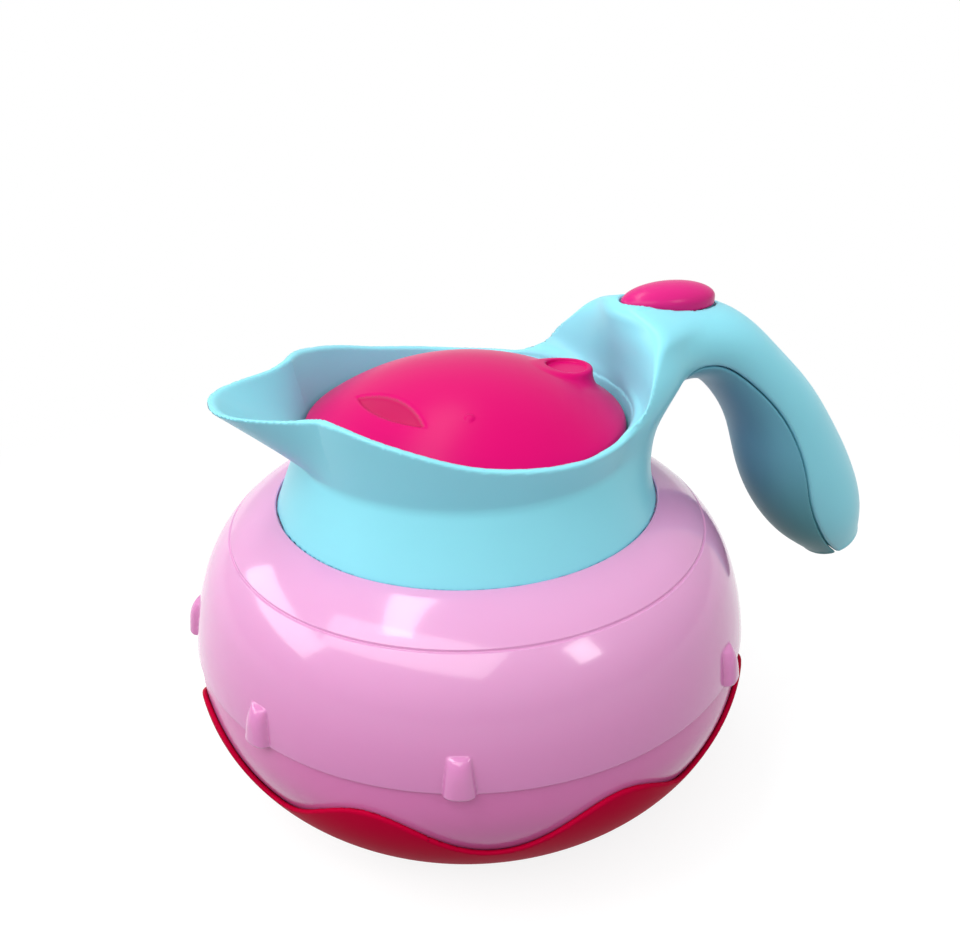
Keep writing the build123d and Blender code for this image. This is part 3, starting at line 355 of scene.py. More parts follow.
def spline_table(xs, rows, n):
    """Natural cubic spline through rows at xs, sampled at n even steps."""
    xs, rows = np.array(xs, float), np.array(rows, float)
    m = len(xs)
    h = np.diff(xs)
    a = np.zeros((m, m))
    b = np.zeros((m, rows.shape[1]))
    a[0, 0] = a[-1, -1] = 1
    for i in range(1, m - 1):
        a[i, i - 1], a[i, i], a[i, i + 1] = h[i - 1], 2 * (h[i - 1] + h[i]), h[i]
        b[i] = 3 * ((rows[i + 1] - rows[i]) / h[i] - (rows[i] - rows[i - 1]) / h[i - 1])
    c = np.linalg.solve(a, b)
    x = np.linspace(xs[0], xs[-1], n)
    i = np.clip(np.searchsorted(xs, x, side="right") - 1, 0, m - 2)
    t = (x - xs[i])[:, None]
    hi = h[i][:, None]
    lin = (rows[i + 1] - rows[i]) / hi - hi * (2 * c[i] + c[i + 1]) / 3
    return x, rows[i] + lin * t + c[i] * t ** 2 + (c[i + 1] - c[i]) / (3 * hi) * t ** 3


def by_first(table, n):
    """Spline through rows of (x, value, ...). One value column comes back flat."""
    x, rows = spline_table([v[0] for v in table], [v[1:] for v in table], n)
    return x, rows[:, 0] if rows.shape[1] == 1 else rows


def along(points, n):
    """Spline along a line of points (x, z, ...), by the distance between them."""
    steps = [math.hypot(b[0] - a[0], b[1] - a[1]) for a, b in zip(points, points[1:])]
    return spline_table(np.concatenate([[0], np.cumsum(steps)]), points, n)[1]


def polar(p):
    return np.hypot(p[:, 0], p[:, 1]), np.degrees(np.arctan2(p[:, 1], p[:, 0]))


def around(p, x, y=0.0):
    """Distance from the upright line at x, y."""
    return np.hypot(p[:, 0] - x, p[:, 1] - y)


def ellipse_field(x, y, a, b, least=0.02):
    g = np.sqrt((x / a ** 2) ** 2 + (y / b ** 2) ** 2)
    return ((x / a) ** 2 + (y / b) ** 2 - 1) / (2 * np.maximum(g, least))


# ------------------------------------------------------------------ belly
BELLY_R, SIDE_R, SIDE_DEG, SHOULDER_R, UNDER_H = 75.0, 63.6, 21.7, 32.0, 49.0
WALL = 2.2
PARTING_Z, STEP_Z, NECK_Z, NECK_R = EQ + 6.6, EQ + 35.0, EQ + 41.0, 50.0
# centres of the side's and the shoulder's arcs: from the axis, and over the equator
SIDE_X = BELLY_R - SIDE_R
SHOULDER_X = SIDE_X + (SIDE_R - SHOULDER_R) * math.cos(math.radians(SIDE_DEG))
SHOULDER_Z = (SIDE_R - SHOULDER_R) * math.sin(math.radians(SIDE_DEG))


def belly(p):
    r, z = np.hypot(p[:, 0], p[:, 1]), p[:, 2] - EQ
    side = np.hypot(r - SIDE_X, z) - SIDE_R
    shoulder = np.hypot(r - SHOULDER_X, z - SHOULDER_Z) - SHOULDER_R
    upper = np.where(np.arctan2(z, r - SIDE_X) < math.radians(SIDE_DEG), side, shoulder)
    gx, gz = r / BELLY_R ** 2, z / UNDER_H ** 2
    under = ((r / BELLY_R) ** 2 + (z / UNDER_H) ** 2 - 1) / (2 * np.maximum(np.hypot(gx, gz), 1e-4))
    return np.where(z >= 0, upper, under)


# ------------------------------------------------------------------ collar and spout
CREASE_R, CREASE_Z = 43.2, EQ + 57.5    # where the neck's cone turns into the flare
COLLAR_WALL = 2.2
COLLAR_STEEP, RIM_STEEP = 0.92, 0.97    # scale the fields of leaning faces to distances
LIP_R, LIP_H, SPOUT_REACH, SPOUT_SPREAD, SPOUT_POWER = 45.8, 75.2, 17.4, 18.3, 2.6
BACK_SLOPE = 0.2                        # least lean of the flare
SPOUT_HALF_DEG, SPOUT_FADE_DEG = 60, 6  # the lean follows the lip this far round from the spout
CREASE_ROUND, RIM_ROUND, NECK_ROUND = 0.8, 0.8, 0.3
# the rim: x, height over the equator
RIM = ((-90, 75.2), (-63, 75.2), (-52, 75.2), (-44, 75.6), (-39.5, 76.3), (-33.3, 75), (-26.8, 73.2),
       (-19.4, 71), (-12.8, 69.2), (-5, 67.8), (2, 66.8), (12, 65.7), (22, 65.4), (60, 65.6))
RIM_X, RIM_H = by_first(RIM, 600)

# the scoop in front of the handle: height over the equator, and how far its wall is flattened, in
# millimetres per square of the distance from the middle
SCOOP_R = 42.6
SCOOP = ((55.0, 0.0), (64.8, 0.0), (68.0, 0.0042), (73.0, 0.0072), (77.0, 0.0092), (81.4, 0.0142),
         (85.0, 0.0232), (92.0, 0.0242))
SCOOP_Z, SCOOP_LEAN = by_first(SCOOP, 200)
SCOOP_HALF_W = 38.0
SCOOP_FROM, SCOOP_RISE = 64.0, 4.0      # the wall changes from the circle to the scoop here
OPEN_BY, OPEN_X, OPEN_RUN = 8, 12, 12   # over the rim the collar's inside no longer bounds the scoop
BACK_FROM_X, BACK_BLEND, INSIDE_BLEND = 5.0, 1.0, 0.8
FACE_FILL, FILL_HALF_W, FILL_FROM, FILL_RISE = 2.2, 12.0, 66.0, 16.0    # swell under the button


def lip_radius(deg):
    d = np.abs(180 - np.mod(deg, 360))
    return LIP_R + SPOUT_REACH * np.exp(-((d / SPOUT_SPREAD) ** SPOUT_POWER))


def collar_radius(deg, z):
    d = np.abs(180 - np.mod(deg, 360))
    near = np.clip((SPOUT_HALF_DEG - d) / SPOUT_FADE_DEG, 0, 1)
    lean = np.maximum(BACK_SLOPE, near * (lip_radius(deg) - CREASE_R) / (LIP_H + EQ - CREASE_Z))
    flare = CREASE_R + lean * (z - CREASE_Z)
    cone = NECK_R - (NECK_R - CREASE_R) / (CREASE_Z - NECK_Z) * (z - NECK_Z)
    return smax(flare, cone, CREASE_ROUND)


def collar_outer(p):
    r, deg = polar(p)
    z = p[:, 2]
    side = (r - collar_radius(deg, z)) * COLLAR_STEEP
    top = (z - EQ - np.interp(p[:, 0], RIM_X, RIM_H)) * RIM_STEEP
    return smax(smax(side, top, RIM_ROUND), NECK_Z - z, NECK_ROUND)


def pot_inside(p):
    """The room inside the collar, with the scoop in front of the handle."""
    r, deg = polar(p)
    h = p[:, 2] - EQ
    lean = np.interp(h, SCOOP_Z, SCOOP_LEAN)
    y2 = np.minimum(p[:, 1] ** 2, SCOOP_HALF_W ** 2)
    arc = np.sqrt(SCOOP_R ** 2 - y2)
    tilt = np.sqrt(y2) * (2 * lean - 1 / arc)
    face = (p[:, 0] - arc - lean * y2) / np.sqrt(1 + tilt ** 2)
    over = eased_step((h - SCOOP_FROM) / SCOOP_RISE)
    swell = np.exp(-(p[:, 1] / FILL_HALF_W) ** 2) * eased_step((h - FILL_FROM) / FILL_RISE)
    face = face + FACE_FILL * swell
    wide = (r - collar_radius(deg, p[:, 2]) + COLLAR_WALL) * COLLAR_STEEP
    wide = wide - OPEN_BY * over * np.clip((p[:, 0] - OPEN_X) / OPEN_RUN, 0, 1)
    wall = (r - SCOOP_R) * (1 - over) + face * over
    return smax(wide, smin(p[:, 0] - BACK_FROM_X, wall, BACK_BLEND), INSIDE_BLEND)


# ------------------------------------------------------------------ handle
# the root: height over the equator, its oval's middle x, half length and half width
ROOT = ((40.0, 20.0, 29.4, 32.6), (52.0, 20.0, 29.8, 32.8), (60.5, 20.5, 31.0, 33.0),
        (67.0, 22.0, 34.0, 32.6), (74.0, 26.0, 35.5, 29.0), (80.0, 32.5, 29.0, 24.0),
        (84.0, 38.0, 21.5, 18.5), (86.8, 44.0, 9.0, 8.0))
ROOT_Z, ROOT_ROWS = by_first(ROOT, 300)
ROOT_TOP, ROOT_TOP_ROUND, ROOT_FOOT, ROOT_FOOT_ROUND = 87.1, 3.0, 40.5, 1.0
ROOT_FRONT_X, ROOT_FRONT_FROM, ROOT_FRONT_ROUND = 29.5, 66.0, 1.2   # no root in front, over this height
# the arm: x, height over the equator, half thickness and half width
ARM = ((47.0, 75.3, 10.6, 15.0), (56.0, 75.9, 11.2, 16.6), (62.0, 75.6, 10.8, 15.6),
       (69.2, 74.1, 10.6, 14.8), (83.1, 63.7, 10.6, 14.5), (94.1, 50.0, 12.8, 14.5),
       (102.6, 34.2, 15.6, 14.5), (111.6, 19.8, 15.4, 14.0), (117.9, 10.4, 13.1, 12.6),
       (122.8, 2.5, 9.4, 9.8))
ARM_ROWS = along(ARM, 420)
ARM_C = ARM_ROWS[:, :2] + np.array([0, EQ])
ARM_DIR = np.gradient(ARM_C, axis=0)
ARM_DIR /= np.linalg.norm(ARM_DIR, axis=1)[:, None]
ARM_COARSE, ARM_ROUNDS = 6, 4           # first search along the arm, and how often it is made finer
TIP_LEN, TIP_FROM_X, START_TO_X, START_SHARE = 4.8, 100, 60, 0.8
ARM_NEAR_X = 40                         # the arm is all beyond this
ROOT_BLEND, ARM_BLEND, COVER_BLEND = 2.5, 4.0, 4.0
# the cover's edge on the handle's side: x, height over the equator
COVER = ((56.0, 71.0), (59.6, 71.6), (66.8, 70.8), (74.4, 66.5), (82.3, 59.7), (89.8, 51.2),
         (94.6, 43.6), (99.3, 33.5), (102.8, 23.7), (108.5, 12.8), (115.1, 4.3), (124.0, -3.5),
         (131.5, -9.0))
COVER_LINE = along(COVER, 90) + np.array([0, EQ])
COVER_PAST = 12                         # the edge's line runs on past the tip
last_run = COVER_LINE[-1] - COVER_LINE[-2]
COVER_END = COVER_LINE[-1] + last_run / np.linalg.norm(last_run) * COVER_PAST
COVER_LINE = np.concatenate([COVER_LINE, [COVER_END]])
COVER_GAP, COVER_ROUND, COVER_END_ROUND = 0.12, 0.9, 0.8    # half the parting's gap

BTN_X, BTN_TOP_Z, BTN_L, BTN_W, BTN_GAP = 57.35, EQ + 91.1, 27.0, 15.0, 0.3
BTN_CAP_Z, BTN_FLOOR_Z = BTN_TOP_Z - 6.5, BTN_TOP_Z - 8.3
POCKET_L, POCKET_W = BTN_L + 2 * BTN_GAP, BTN_W + 2 * BTN_GAP
POCKET_ROUND, POCKET_EDGE = 0.3, 0.7
GUARD_WALL, GUARD_BASE, GUARD_BLEND = 1.0, 0.5, 4.0     # what the scoop leaves round the pocket
SCOOP_EDGE, SCOOP_EDGE_MORE, EDGE_FROM, EDGE_RISE, EDGE_X = 0.7, 3.0, 74, 9, 25


def between(rows, k):
    """Rows at the fractional places k."""
    j = k.astype(int)
    t = (k - j)[:, None]
    return rows[j] * (1 - t) + rows[j + 1] * t


def arm_terms(p):
    """In-plane offset, along-axis overshoot, half thickness and half width for each point."""
    q = p[:, [0, 2]]
    out = np.empty((len(p), 4))
    last = len(ARM_C) - 1.001
    for i in range(0, len(p), CHUNK_POINTS):
        c = q[i:i + CHUNK_POINTS]
        d2 = ((c[:, None, :] - ARM_C[None, ::ARM_COARSE, :]) ** 2).sum(2)
        k = np.clip(d2.argmin(1) * ARM_COARSE, 0, len(ARM_C) - 1).astype(float)
        for _ in range(ARM_ROUNDS):
            k = np.clip(k, 0, last)
            j = k.astype(int)
            onward = ((c - between(ARM_C, k)) * between(ARM_DIR, k)).sum(1)
            k = np.clip(k + onward / np.linalg.norm(ARM_C[j + 1] - ARM_C[j], axis=1), 0, last)
        off, d = c - between(ARM_C, k), between(ARM_DIR, k)
        out[i:i + CHUNK_POINTS, 0] = off[:, 1] * d[:, 0] - off[:, 0] * d[:, 1]
        out[i:i + CHUNK_POINTS, 1] = (off * d).sum(1)
        out[i:i + CHUNK_POINTS, 2:] = between(ARM_ROWS, k)[:, 2:4]
    return out


def arm_field(p):
    u, w, a, b = arm_terms(p).T
    y = p[:, 1]
    past_tip, before_start = (w > 0) & (p[:, 0] > TIP_FROM_X), (w < 0) & (p[:, 0] < START_TO_X)
    w = np.where(past_tip, w, np.where(before_start, w * START_SHARE, 0))
    g = np.sqrt((u / a ** 2) ** 2 + (y / b ** 2) ** 2 + (w / TIP_LEN ** 2) ** 2)
    return ((u / a) ** 2 + (y / b) ** 2 + (w / TIP_LEN) ** 2 - 1) / (2 * np.maximum(g, 0.02))


def root_field(p):
    h = p[:, 2] - EQ
    cx, a, b = [np.interp(h, ROOT_Z, ROOT_ROWS[:, i]) for i in range(3)]
    d = ellipse_field(p[:, 0] - cx, p[:, 1], a, b, 0.01)
    d = smax(d, h - ROOT_TOP, ROOT_TOP_ROUND)
    d = smax(d, ROOT_FOOT - h, ROOT_FOOT_ROUND)
    return smax(d, np.minimum(ROOT_FRONT_X - p[:, 0], h - ROOT_FRONT_FROM), ROOT_FRONT_ROUND)


def region_field(p):
    """Below zero on the cover's side of the handle's parting line."""
    x, z = p[:, 0], p[:, 2]
    out = np.empty(len(p))
    a, ab = COVER_LINE[:-1], COVER_LINE[1:] - COVER_LINE[:-1]
    for i in range(0, len(p), CHUNK_POINTS):
        c = np.stack([x[i:i + CHUNK_POINTS], z[i:i + CHUNK_POINTS]], 1)
        t = ((c[:, None, :] - a[None]) * ab[None]).sum(2) / (ab * ab).sum(1)[None]
        nearest = a[None] + np.clip(t, 0, 1)[:, :, None] * ab[None]
        d2 = ((c[:, None, :] - nearest) ** 2).sum(2)
        j = d2.argmin(1)
        side = ab[j, 0] * (c[:, 1] - a[j, 1]) - ab[j, 1] * (c[:, 0] - a[j, 0])
        out[i:i + CHUNK_POINTS] = np.sqrt(d2.min(1)) * np.sign(side)
    return smax(out, COVER[0][0] - x, COVER_END_ROUND)


def button_oval(p, length, width):
    return ellipse_field(p[:, 0] - BTN_X, p[:, 1], length / 2, width / 2)


def carafe_field(p):
    z = p[:, 2]
    near = p[:, 0] > ARM_NEAR_X
    arm, reg = np.full(len(p), OUTSIDE), np.full(len(p), OUTSIDE)
    arm[near], reg[near] = arm_field(p[near]), region_field(p[near])
    d = smin(collar_outer(p), root_field(p), ROOT_BLEND)
    d = smin(d, arm, ARM_BLEND)
    edge = SCOOP_EDGE_MORE * np.clip((z - EQ - EDGE_FROM) / EDGE_RISE, 0, 1)
    edge = SCOOP_EDGE + edge * (p[:, 0] > EDGE_X)
    guard = smax(button_oval(p, POCKET_L + 2 * GUARD_WALL, POCKET_W + 2 * GUARD_WALL),
                 BTN_FLOOR_Z + GUARD_BASE - z, GUARD_BLEND)
    d = smax(d, -smax(pot_inside(p), -guard, GUARD_BLEND), edge)
    pocket = smax(button_oval(p, POCKET_L, POCKET_W), BTN_FLOOR_Z - z, POCKET_ROUND)
    d = smax(d, -pocket, POCKET_EDGE)
    return smax(d, COVER_GAP - reg, COVER_ROUND)


def cover_field(p):
    grip = smin(arm_field(p), root_field(p), COVER_BLEND)
    return smax(grip, region_field(p) + COVER_GAP, COVER_ROUND)


# ------------------------------------------------------------------ lid and button
LID_R, LID_EDGE_Z, DOME_R, LID_T, LID_SKIRT_H, LID_SKIRT_T = 41.2, EQ + 62.8, 69.7, 1.8, 2.3, 1.6
DOME_Z = LID_EDGE_Z - math.sqrt(DOME_R ** 2 - LID_R ** 2)
BOSS_X, BOSS_R, BOSS_TOP_Z, BOSS_DISH_R, BOSS_DISH = 28.3, 7.0, EQ + 71.9, 5.4, 0.8
BOSS_FOOT_Z, BOSS_FILLET, BOSS_ROUND = LID_EDGE_Z + 2.2, 3.2, 1.2
LEAF_R, LEAF_INNER_R, LEAF_AT, LEAF_DEG, LEAF_DEPTH = 27.4, 30.2, 50.9, -157.0, 0.8
LEAF_DRAFT, LEAF_STEEP, LEAF_CORNER, LEAF_ROUND = 0.8, 0.78, 0.6, 0.5   # the recess's walls lean
SHADE_IN, SHADE_UP = 0.3, 0.5           # the painted shade's margins, inwards and upwards
GATE_R, GATE_PROUD, GATE_AT, GATE_DEG = 1.0, 0.3, 24.2, -106.0
GATE_ROUND, GATE_BLEND = 0.4, 0.5
HINGE_X, HINGE_Z, EAR_R, EAR_Y, KNUCKLE_T, KNUCKLE_GAP, PIN_R = 30.0, 102.5, 2.5, 10.0, 3.3, 0.3, 1.0
KNUCKLE_Y, PIN_GAP = EAR_Y - KNUCKLE_GAP - KNUCKLE_T / 2, 0.05
EDGE_ROUND, SKIRT_ROUND, HOLLOW_ROUND, DISH_ROUND, KNUCKLE_BLEND, PLATE_ROUND = 1.4, 0.4, 0.8, 0.5, 0.4, 0.2
SMALL_ROUND, TIGHT_ROUND = 0.3, 0.1


def dome_distance(p):
    """Distance from the middle of the lid's dome."""
    r = polar(p)[0]
    return np.sqrt(r * r + (p[:, 2] - DOME_Z) ** 2)


def leaf_field(p):
    a = math.radians(LEAF_DEG)
    inner = around(p, LEAF_AT * math.cos(a), LEAF_AT * math.sin(a)) - LEAF_INNER_R
    return smax(polar(p)[0] - LEAF_R, inner, LEAF_CORNER)


def in_leaf_shade(p):
    """Faces of the leaf's sunk floor, which get painted shade."""
    return (leaf_field(p) < -SHADE_IN) & (np.abs(dome_distance(p) - DOME_R + LEAF_DEPTH) < SHADE_UP)


def lid_field(p):
    r, z, far = polar(p)[0], p[:, 2], dome_distance(p)
    dome = smax(smax(far - DOME_R, r - LID_R, EDGE_ROUND), LID_EDGE_Z - LID_SKIRT_H - z, SKIRT_ROUND)
    rb = around(p, BOSS_X)
    boss = smax(smax(rb - BOSS_R, z - BOSS_TOP_Z, BOSS_ROUND), BOSS_FOOT_Z - z, SMALL_ROUND)
    dome = smin(dome, boss, BOSS_FILLET)
    dish = smax(rb - BOSS_DISH_R, BOSS_TOP_Z - BOSS_DISH - z, DISH_ROUND)
    dome = smax(dome, -dish, DISH_ROUND)
    hollow = smax(far - DOME_R + LID_T, r - LID_R + LID_SKIRT_T, HOLLOW_ROUND)
    hollow = smax(hollow, -smax(rb - BOSS_R, BOSS_FOOT_Z - z, SMALL_ROUND), DISH_ROUND)
    d = smax(dome, -hollow, DISH_ROUND)

    leaf = (leaf_field(p) + LEAF_DRAFT * (DOME_R - far)) * LEAF_STEEP
    d = smax(d, -smax(leaf, DOME_R - LEAF_DEPTH - far, LEAF_ROUND), LEAF_ROUND)
    a = math.radians(GATE_DEG)
    gate = around(p, GATE_AT * math.cos(a), GATE_AT * math.sin(a)) - GATE_R
    d = smin(d, smax(gate, np.abs(far - DOME_R) - GATE_PROUD, GATE_ROUND), GATE_BLEND)

    # two knuckles, each with a plate up to the dome, and the pin's hole through them
    ya = np.abs(np.abs(p[:, 1]) - KNUCKLE_Y) - KNUCKLE_T / 2
    hinge = np.hypot(p[:, 0] - HINGE_X, z - HINGE_Z)
    ends = np.maximum(HINGE_Z - z, z - BOSS_TOP_Z + BOSS_ROUND)
    plate = smax(np.abs(p[:, 0] - HINGE_X) - EAR_R, ends, PLATE_ROUND)
    plate = smax(plate, far - DOME_R + LID_T / 2, TIGHT_ROUND)
    knuckle = smax(smin(hinge - EAR_R, plate, SMALL_ROUND), ya, SMALL_ROUND)
    d = smin(d, knuckle, KNUCKLE_BLEND)
    hole = smax(hinge - PIN_R - PIN_GAP, np.abs(p[:, 1]) - EAR_Y, TIGHT_ROUND)
    return smax(d, -hole, TIGHT_ROUND)


BTN_SIDE_H = 1.9                        # upright side under the button's dome
BTN_SCALE, STEM_SCALE = 6.0, 2.4        # scale the button's fields to distances
STEM_HALF_L, STEM_HALF_W, STEM_UP, STEM_LEN = 9.5, 4.0, 0.5, 6.6
CAP_ROUND = 0.4


def button_field(p):
    z = p[:, 2]
    x, y = (p[:, 0] - BTN_X) / (BTN_L / 2), p[:, 1] / (BTN_W / 2)
    w = np.maximum(z - BTN_CAP_Z - BTN_SIDE_H, 0) / (BTN_TOP_Z - BTN_CAP_Z - BTN_SIDE_H)
    cap = smax((np.sqrt(x * x + y * y + w ** 2) - 1) * BTN_SCALE, BTN_CAP_Z - z, CAP_ROUND)
    stem = ((p[:, 0] - BTN_X) / STEM_HALF_L) ** 2 + (p[:, 1] / STEM_HALF_W) ** 2 - 1
    ends = np.maximum(z - BTN_CAP_Z - STEM_UP, BTN_CAP_Z - STEM_LEN - z)
    return smin(cap, smax(stem * STEM_SCALE, ends, SMALL_ROUND), SMALL_ROUND)


solid("carafe_body", carafe_field, (-65.5, -52.5, 24), (133, 52.5, 134), 0.75, BLUE, ["carafe_top"])
solid("handle_cover", cover_field, (54, -18.5, 24), (133, 18.5, 114), 0.75, BLUE_SHADED,
      ["handle_inner_cover"])
# the lid, with painted shade on its leaf's sunk floor
solid("lid_shell", lid_field, (-42.5, -42.5, 98.5), (42.5, 42.5, 118), 0.45, MAGENTA, ["lid"],
      body="lid_body", shade_patch=(MAGENTA_SHADE, in_leaf_shade))
solid("button_cap", button_field, (42.5, -9, 116.5), (72.2, 9, 132.5), 0.4, BUTTON, ["handle_button"],
      body="button_body")


# ------------------------------------------------------------------ bowls, turned about the belly's axis
GROOVE_W, GROOVE_D = 0.7, 0.4
LOWER_INSET = 0.7                       # lower bowl's outside under the upper bowl's
LOWER_FOOT_Z = 16.0                     # the lower bowl's edge inside the cup
PARTING_SLIT = 0.06                     # between the bowls
SEAT_LEDGE_R, PART_GAP = 47.6, 0.1
LUG_DEGS = (-190, -150, -111, -50, 10, 50, 110)
LUG_H, LUG_BOTTOM_W, LUG_TOP_W, LUG_PROUD, LUG_ROUND = 9.0, 7.4, 5.2, 2.2, 3.0
LUG_TOP_ROUND, LUG_HALF_DEG, LUG_FOOT_SHARE = 1.6, 20, 0.86
LUG_SPAN, LUG_STEP, LUG_CLEAR, RING_STEP = 3.4, 0.2, 4.0, 1.5   # degrees round the axis
# degrees along the outline: its rows are close over the lugs and across the groove
LUG_ROW_FROM, LUG_ROW_TO, LUG_ROW = 0.25, 9.6, 0.3
GROOVE_REACH, GROOVE_ROW = 1.0, 0.1
NECK_EDGE_ROUND, CHAMFER, LEDGE_H, INSIDE_ROWS = 0.45, 0.2, 2.0, 30
TO_FULL_TURN = 240                      # ring steps in a turn


def belly_row(phi, off=0.0):
    """Point of the belly's outline at angle phi, moved out by off, and its outward normal."""
    t = math.radians(phi)
    c, s = math.cos(t), math.sin(t)
    if phi <= 0:
        n = math.hypot(c / BELLY_R, s / UNDER_H)
        nr, nz = c / BELLY_R / n, s / UNDER_H / n
        return BELLY_R * c + off * nr, EQ + UNDER_H * s + off * nz, nr, nz
    x, z, r = (SIDE_X, 0, SIDE_R) if phi <= SIDE_DEG else (SHOULDER_X, SHOULDER_Z, SHOULDER_R)
    return x + (r + off) * c, EQ + z + (r + off) * s, c, s


def phi_at(z, off=0.0):
    lo, hi = -89.0, 89.0
    for _ in range(50):
        mid = (lo + hi) / 2
        lo, hi = (mid, hi) if belly_row(mid, off)[1] < z else (lo, mid)
    return (lo + hi) / 2


def eased(a, p, b, reach, n=4):
    """A rounded corner at p on the way from a to b."""
    a, p, b = [np.array(v, float) for v in (a, p, b)]
    a = p + (a - p) / np.linalg.norm(a - p) * reach
    b = p + (b - p) / np.linalg.norm(b - p) * reach
    t = np.linspace(0, 1, n + 1)[:, None]
    return [tuple(v) for v in (1 - t) ** 2 * a + 2 * t * (1 - t) * p + t ** 2 * b]


def turned_piece(name, rows, degs, mat, nodes, lift=None):
    """A closed outline of rows (r, z, nr, nz) swept over degs.

    lift(rows, degs) says how far each point moves along its normal.
    """
    rows = np.array(rows, float)
    n, m = len(rows), len(degs)
    a = np.radians(degs)
    d = np.zeros((n, m)) if lift is None else lift(rows, np.array(degs))
    r = rows[:, 0:1] + d * rows[:, 2:3]
    z = rows[:, 1:2] + d * rows[:, 3:4]
    verts = np.stack([r * np.cos(a), r * np.sin(a), z], 2).reshape(-1, 3)
    i, j = np.meshgrid(np.arange(n), np.arange(m), indexing="ij")
    i1, j1 = (i + 1) % n, (j + 1) % m
    quads = np.stack([i * m + j, i * m + j1, i1 * m + j1, i1 * m + j], 2).reshape(-1, 4)
    face = np.cross(verts[quads[:, 2]] - verts[quads[:, 0]], verts[quads[:, 3]] - verts[quads[:, 1]])
    normals = np.zeros_like(verts)
    for corner in range(4):
        np.add.at(normals, quads[:, corner], face)
    normals /= np.maximum(np.linalg.norm(normals, axis=1), 1e-12)[:, None]
    make_piece(name, verts, quads, normals, mat, "pot", nodes)


def lug_lift(rows, degs):
    """Height of the lugs over the belly; only the outer rows, marked by a normal, move."""
    out = np.zeros((len(rows), len(degs)))
    z = rows[:, 1:2]
    up = (z - PARTING_Z) / LUG_H
    half = (LUG_BOTTOM_W + (LUG_TOP_W - LUG_BOTTOM_W) * np.clip(up, 0, 1)) / 2
    outer = (np.hypot(rows[:, 2], rows[:, 3]) > 0.5)[:, None] & (up < 1) & (up > -0.01)
    top = np.clip((1 - up) * LUG_H / (LUG_ROUND * LUG_TOP_ROUND), 0, 1)
    low = np.clip((z - PARTING_Z + 0.25) / 0.5, 0, 1)
    for lug in LUG_DEGS:
        turn = np.mod(degs - lug + 180, 360) - 180
        y = np.abs(rows[:, 0:1] * np.sin(np.radians(turn))[None, :])
        near = (np.abs(turn) < LUG_HALF_DEG)[None, :]
        side = np.clip((half - y) / LUG_ROUND, 0, 1)
        h = LUG_PROUD * np.sqrt(1 - (1 - side) ** 2) * np.sqrt(1 - (1 - top) ** 2)
        h = h * (LUG_FOOT_SHARE + (1 - LUG_FOOT_SHARE) * low)
        out = np.maximum(out, np.where(outer & near & (y < half), h, 0))
    return out


def lug_degs():
    """Angles for the upper bowl's points: close together over the lugs."""
    degs = set()
    for lug in LUG_DEGS:
        degs |= {round((lug + t) % 360, 3) for t in np.arange(-LUG_SPAN, LUG_SPAN + 0.01, LUG_STEP)}
    for d in np.arange(0, 360, RING_STEP):
        if all(abs((d - lug + 180) % 360 - 180) > LUG_CLEAR for lug in LUG_DEGS):
            degs.add(round(float(d), 3))
    return sorted(degs)


def grooved_rows(phis, groove_z):
    """Rows of the belly's outside with a fine groove round it."""
    rows = []
    for phi in phis:
        r, z, nr, nz = belly_row(phi)
        t = min(1.0, abs(z - groove_z) / (GROOVE_W / 2))
        d = -GROOVE_D * (1 - t * t) ** 2
        rows.append((r + d * nr, z + d * nz, nr, nz))
    return rows


def plain(points):
    """Rows that no lug moves."""
    return [(r, z, 0.0, 0.0) for r, z in points]


def upper_shell():
    p0, pg = phi_at(PARTING_Z), phi_at(STEP_Z)
    seat_r = NECK_R + PART_GAP / 2
    p1 = [p for p in np.arange(60, 85, 0.01) if belly_row(p)[0] < seat_r][0]
    phis = list(np.arange(p0 + LUG_ROW_FROM, p0 + LUG_ROW_TO, LUG_ROW))
    phis += list(np.linspace(p0 + 10, pg - 1.2, 14))
    phis += list(np.arange(pg - GROOVE_REACH, pg + GROOVE_REACH + 0.01, GROOVE_ROW))
    phis += list(np.linspace(pg + 1.3, p1 - 1.2, 12))
    rows = grooved_rows(phis, STEP_Z)
    # the neck's edge, the ledge that the collar sits on, and the inside down to the parting
    rows += plain(eased(belly_row(p1 - 2)[:2], belly_row(p1)[:2], (seat_r, NECK_Z), NECK_EDGE_ROUND))
    under_z = NECK_Z - LEDGE_H
    rows += plain([(seat_r, NECK_Z + 0.1), (seat_r, NECK_Z), (SEAT_LEDGE_R + CHAMFER, NECK_Z),
                   (SEAT_LEDGE_R, NECK_Z - CHAMFER), (SEAT_LEDGE_R, under_z),
                   (SEAT_LEDGE_R + CHAMFER, under_z - CHAMFER)])
    pi = phi_at(under_z - CHAMFER, -WALL)
    rows += plain([belly_row(p, -WALL)[:2] for p in np.linspace(pi, p0, INSIDE_ROWS)])
    rows += plain([(belly_row(p0, -WALL)[0] + CHAMFER, PARTING_Z)])
    r, _, nr, nz = belly_row(p0)
    rows += [(r - 0.25, PARTING_Z, nr, 0.0), (r - 0.08, PARTING_Z + 0.06, nr, 0.0),
             (r - 0.01, PARTING_Z + 0.16, nr, nz)]
    turned_piece("upper_shell", rows, lug_degs(), PINK, ["upper_bowl"], lug_lift)


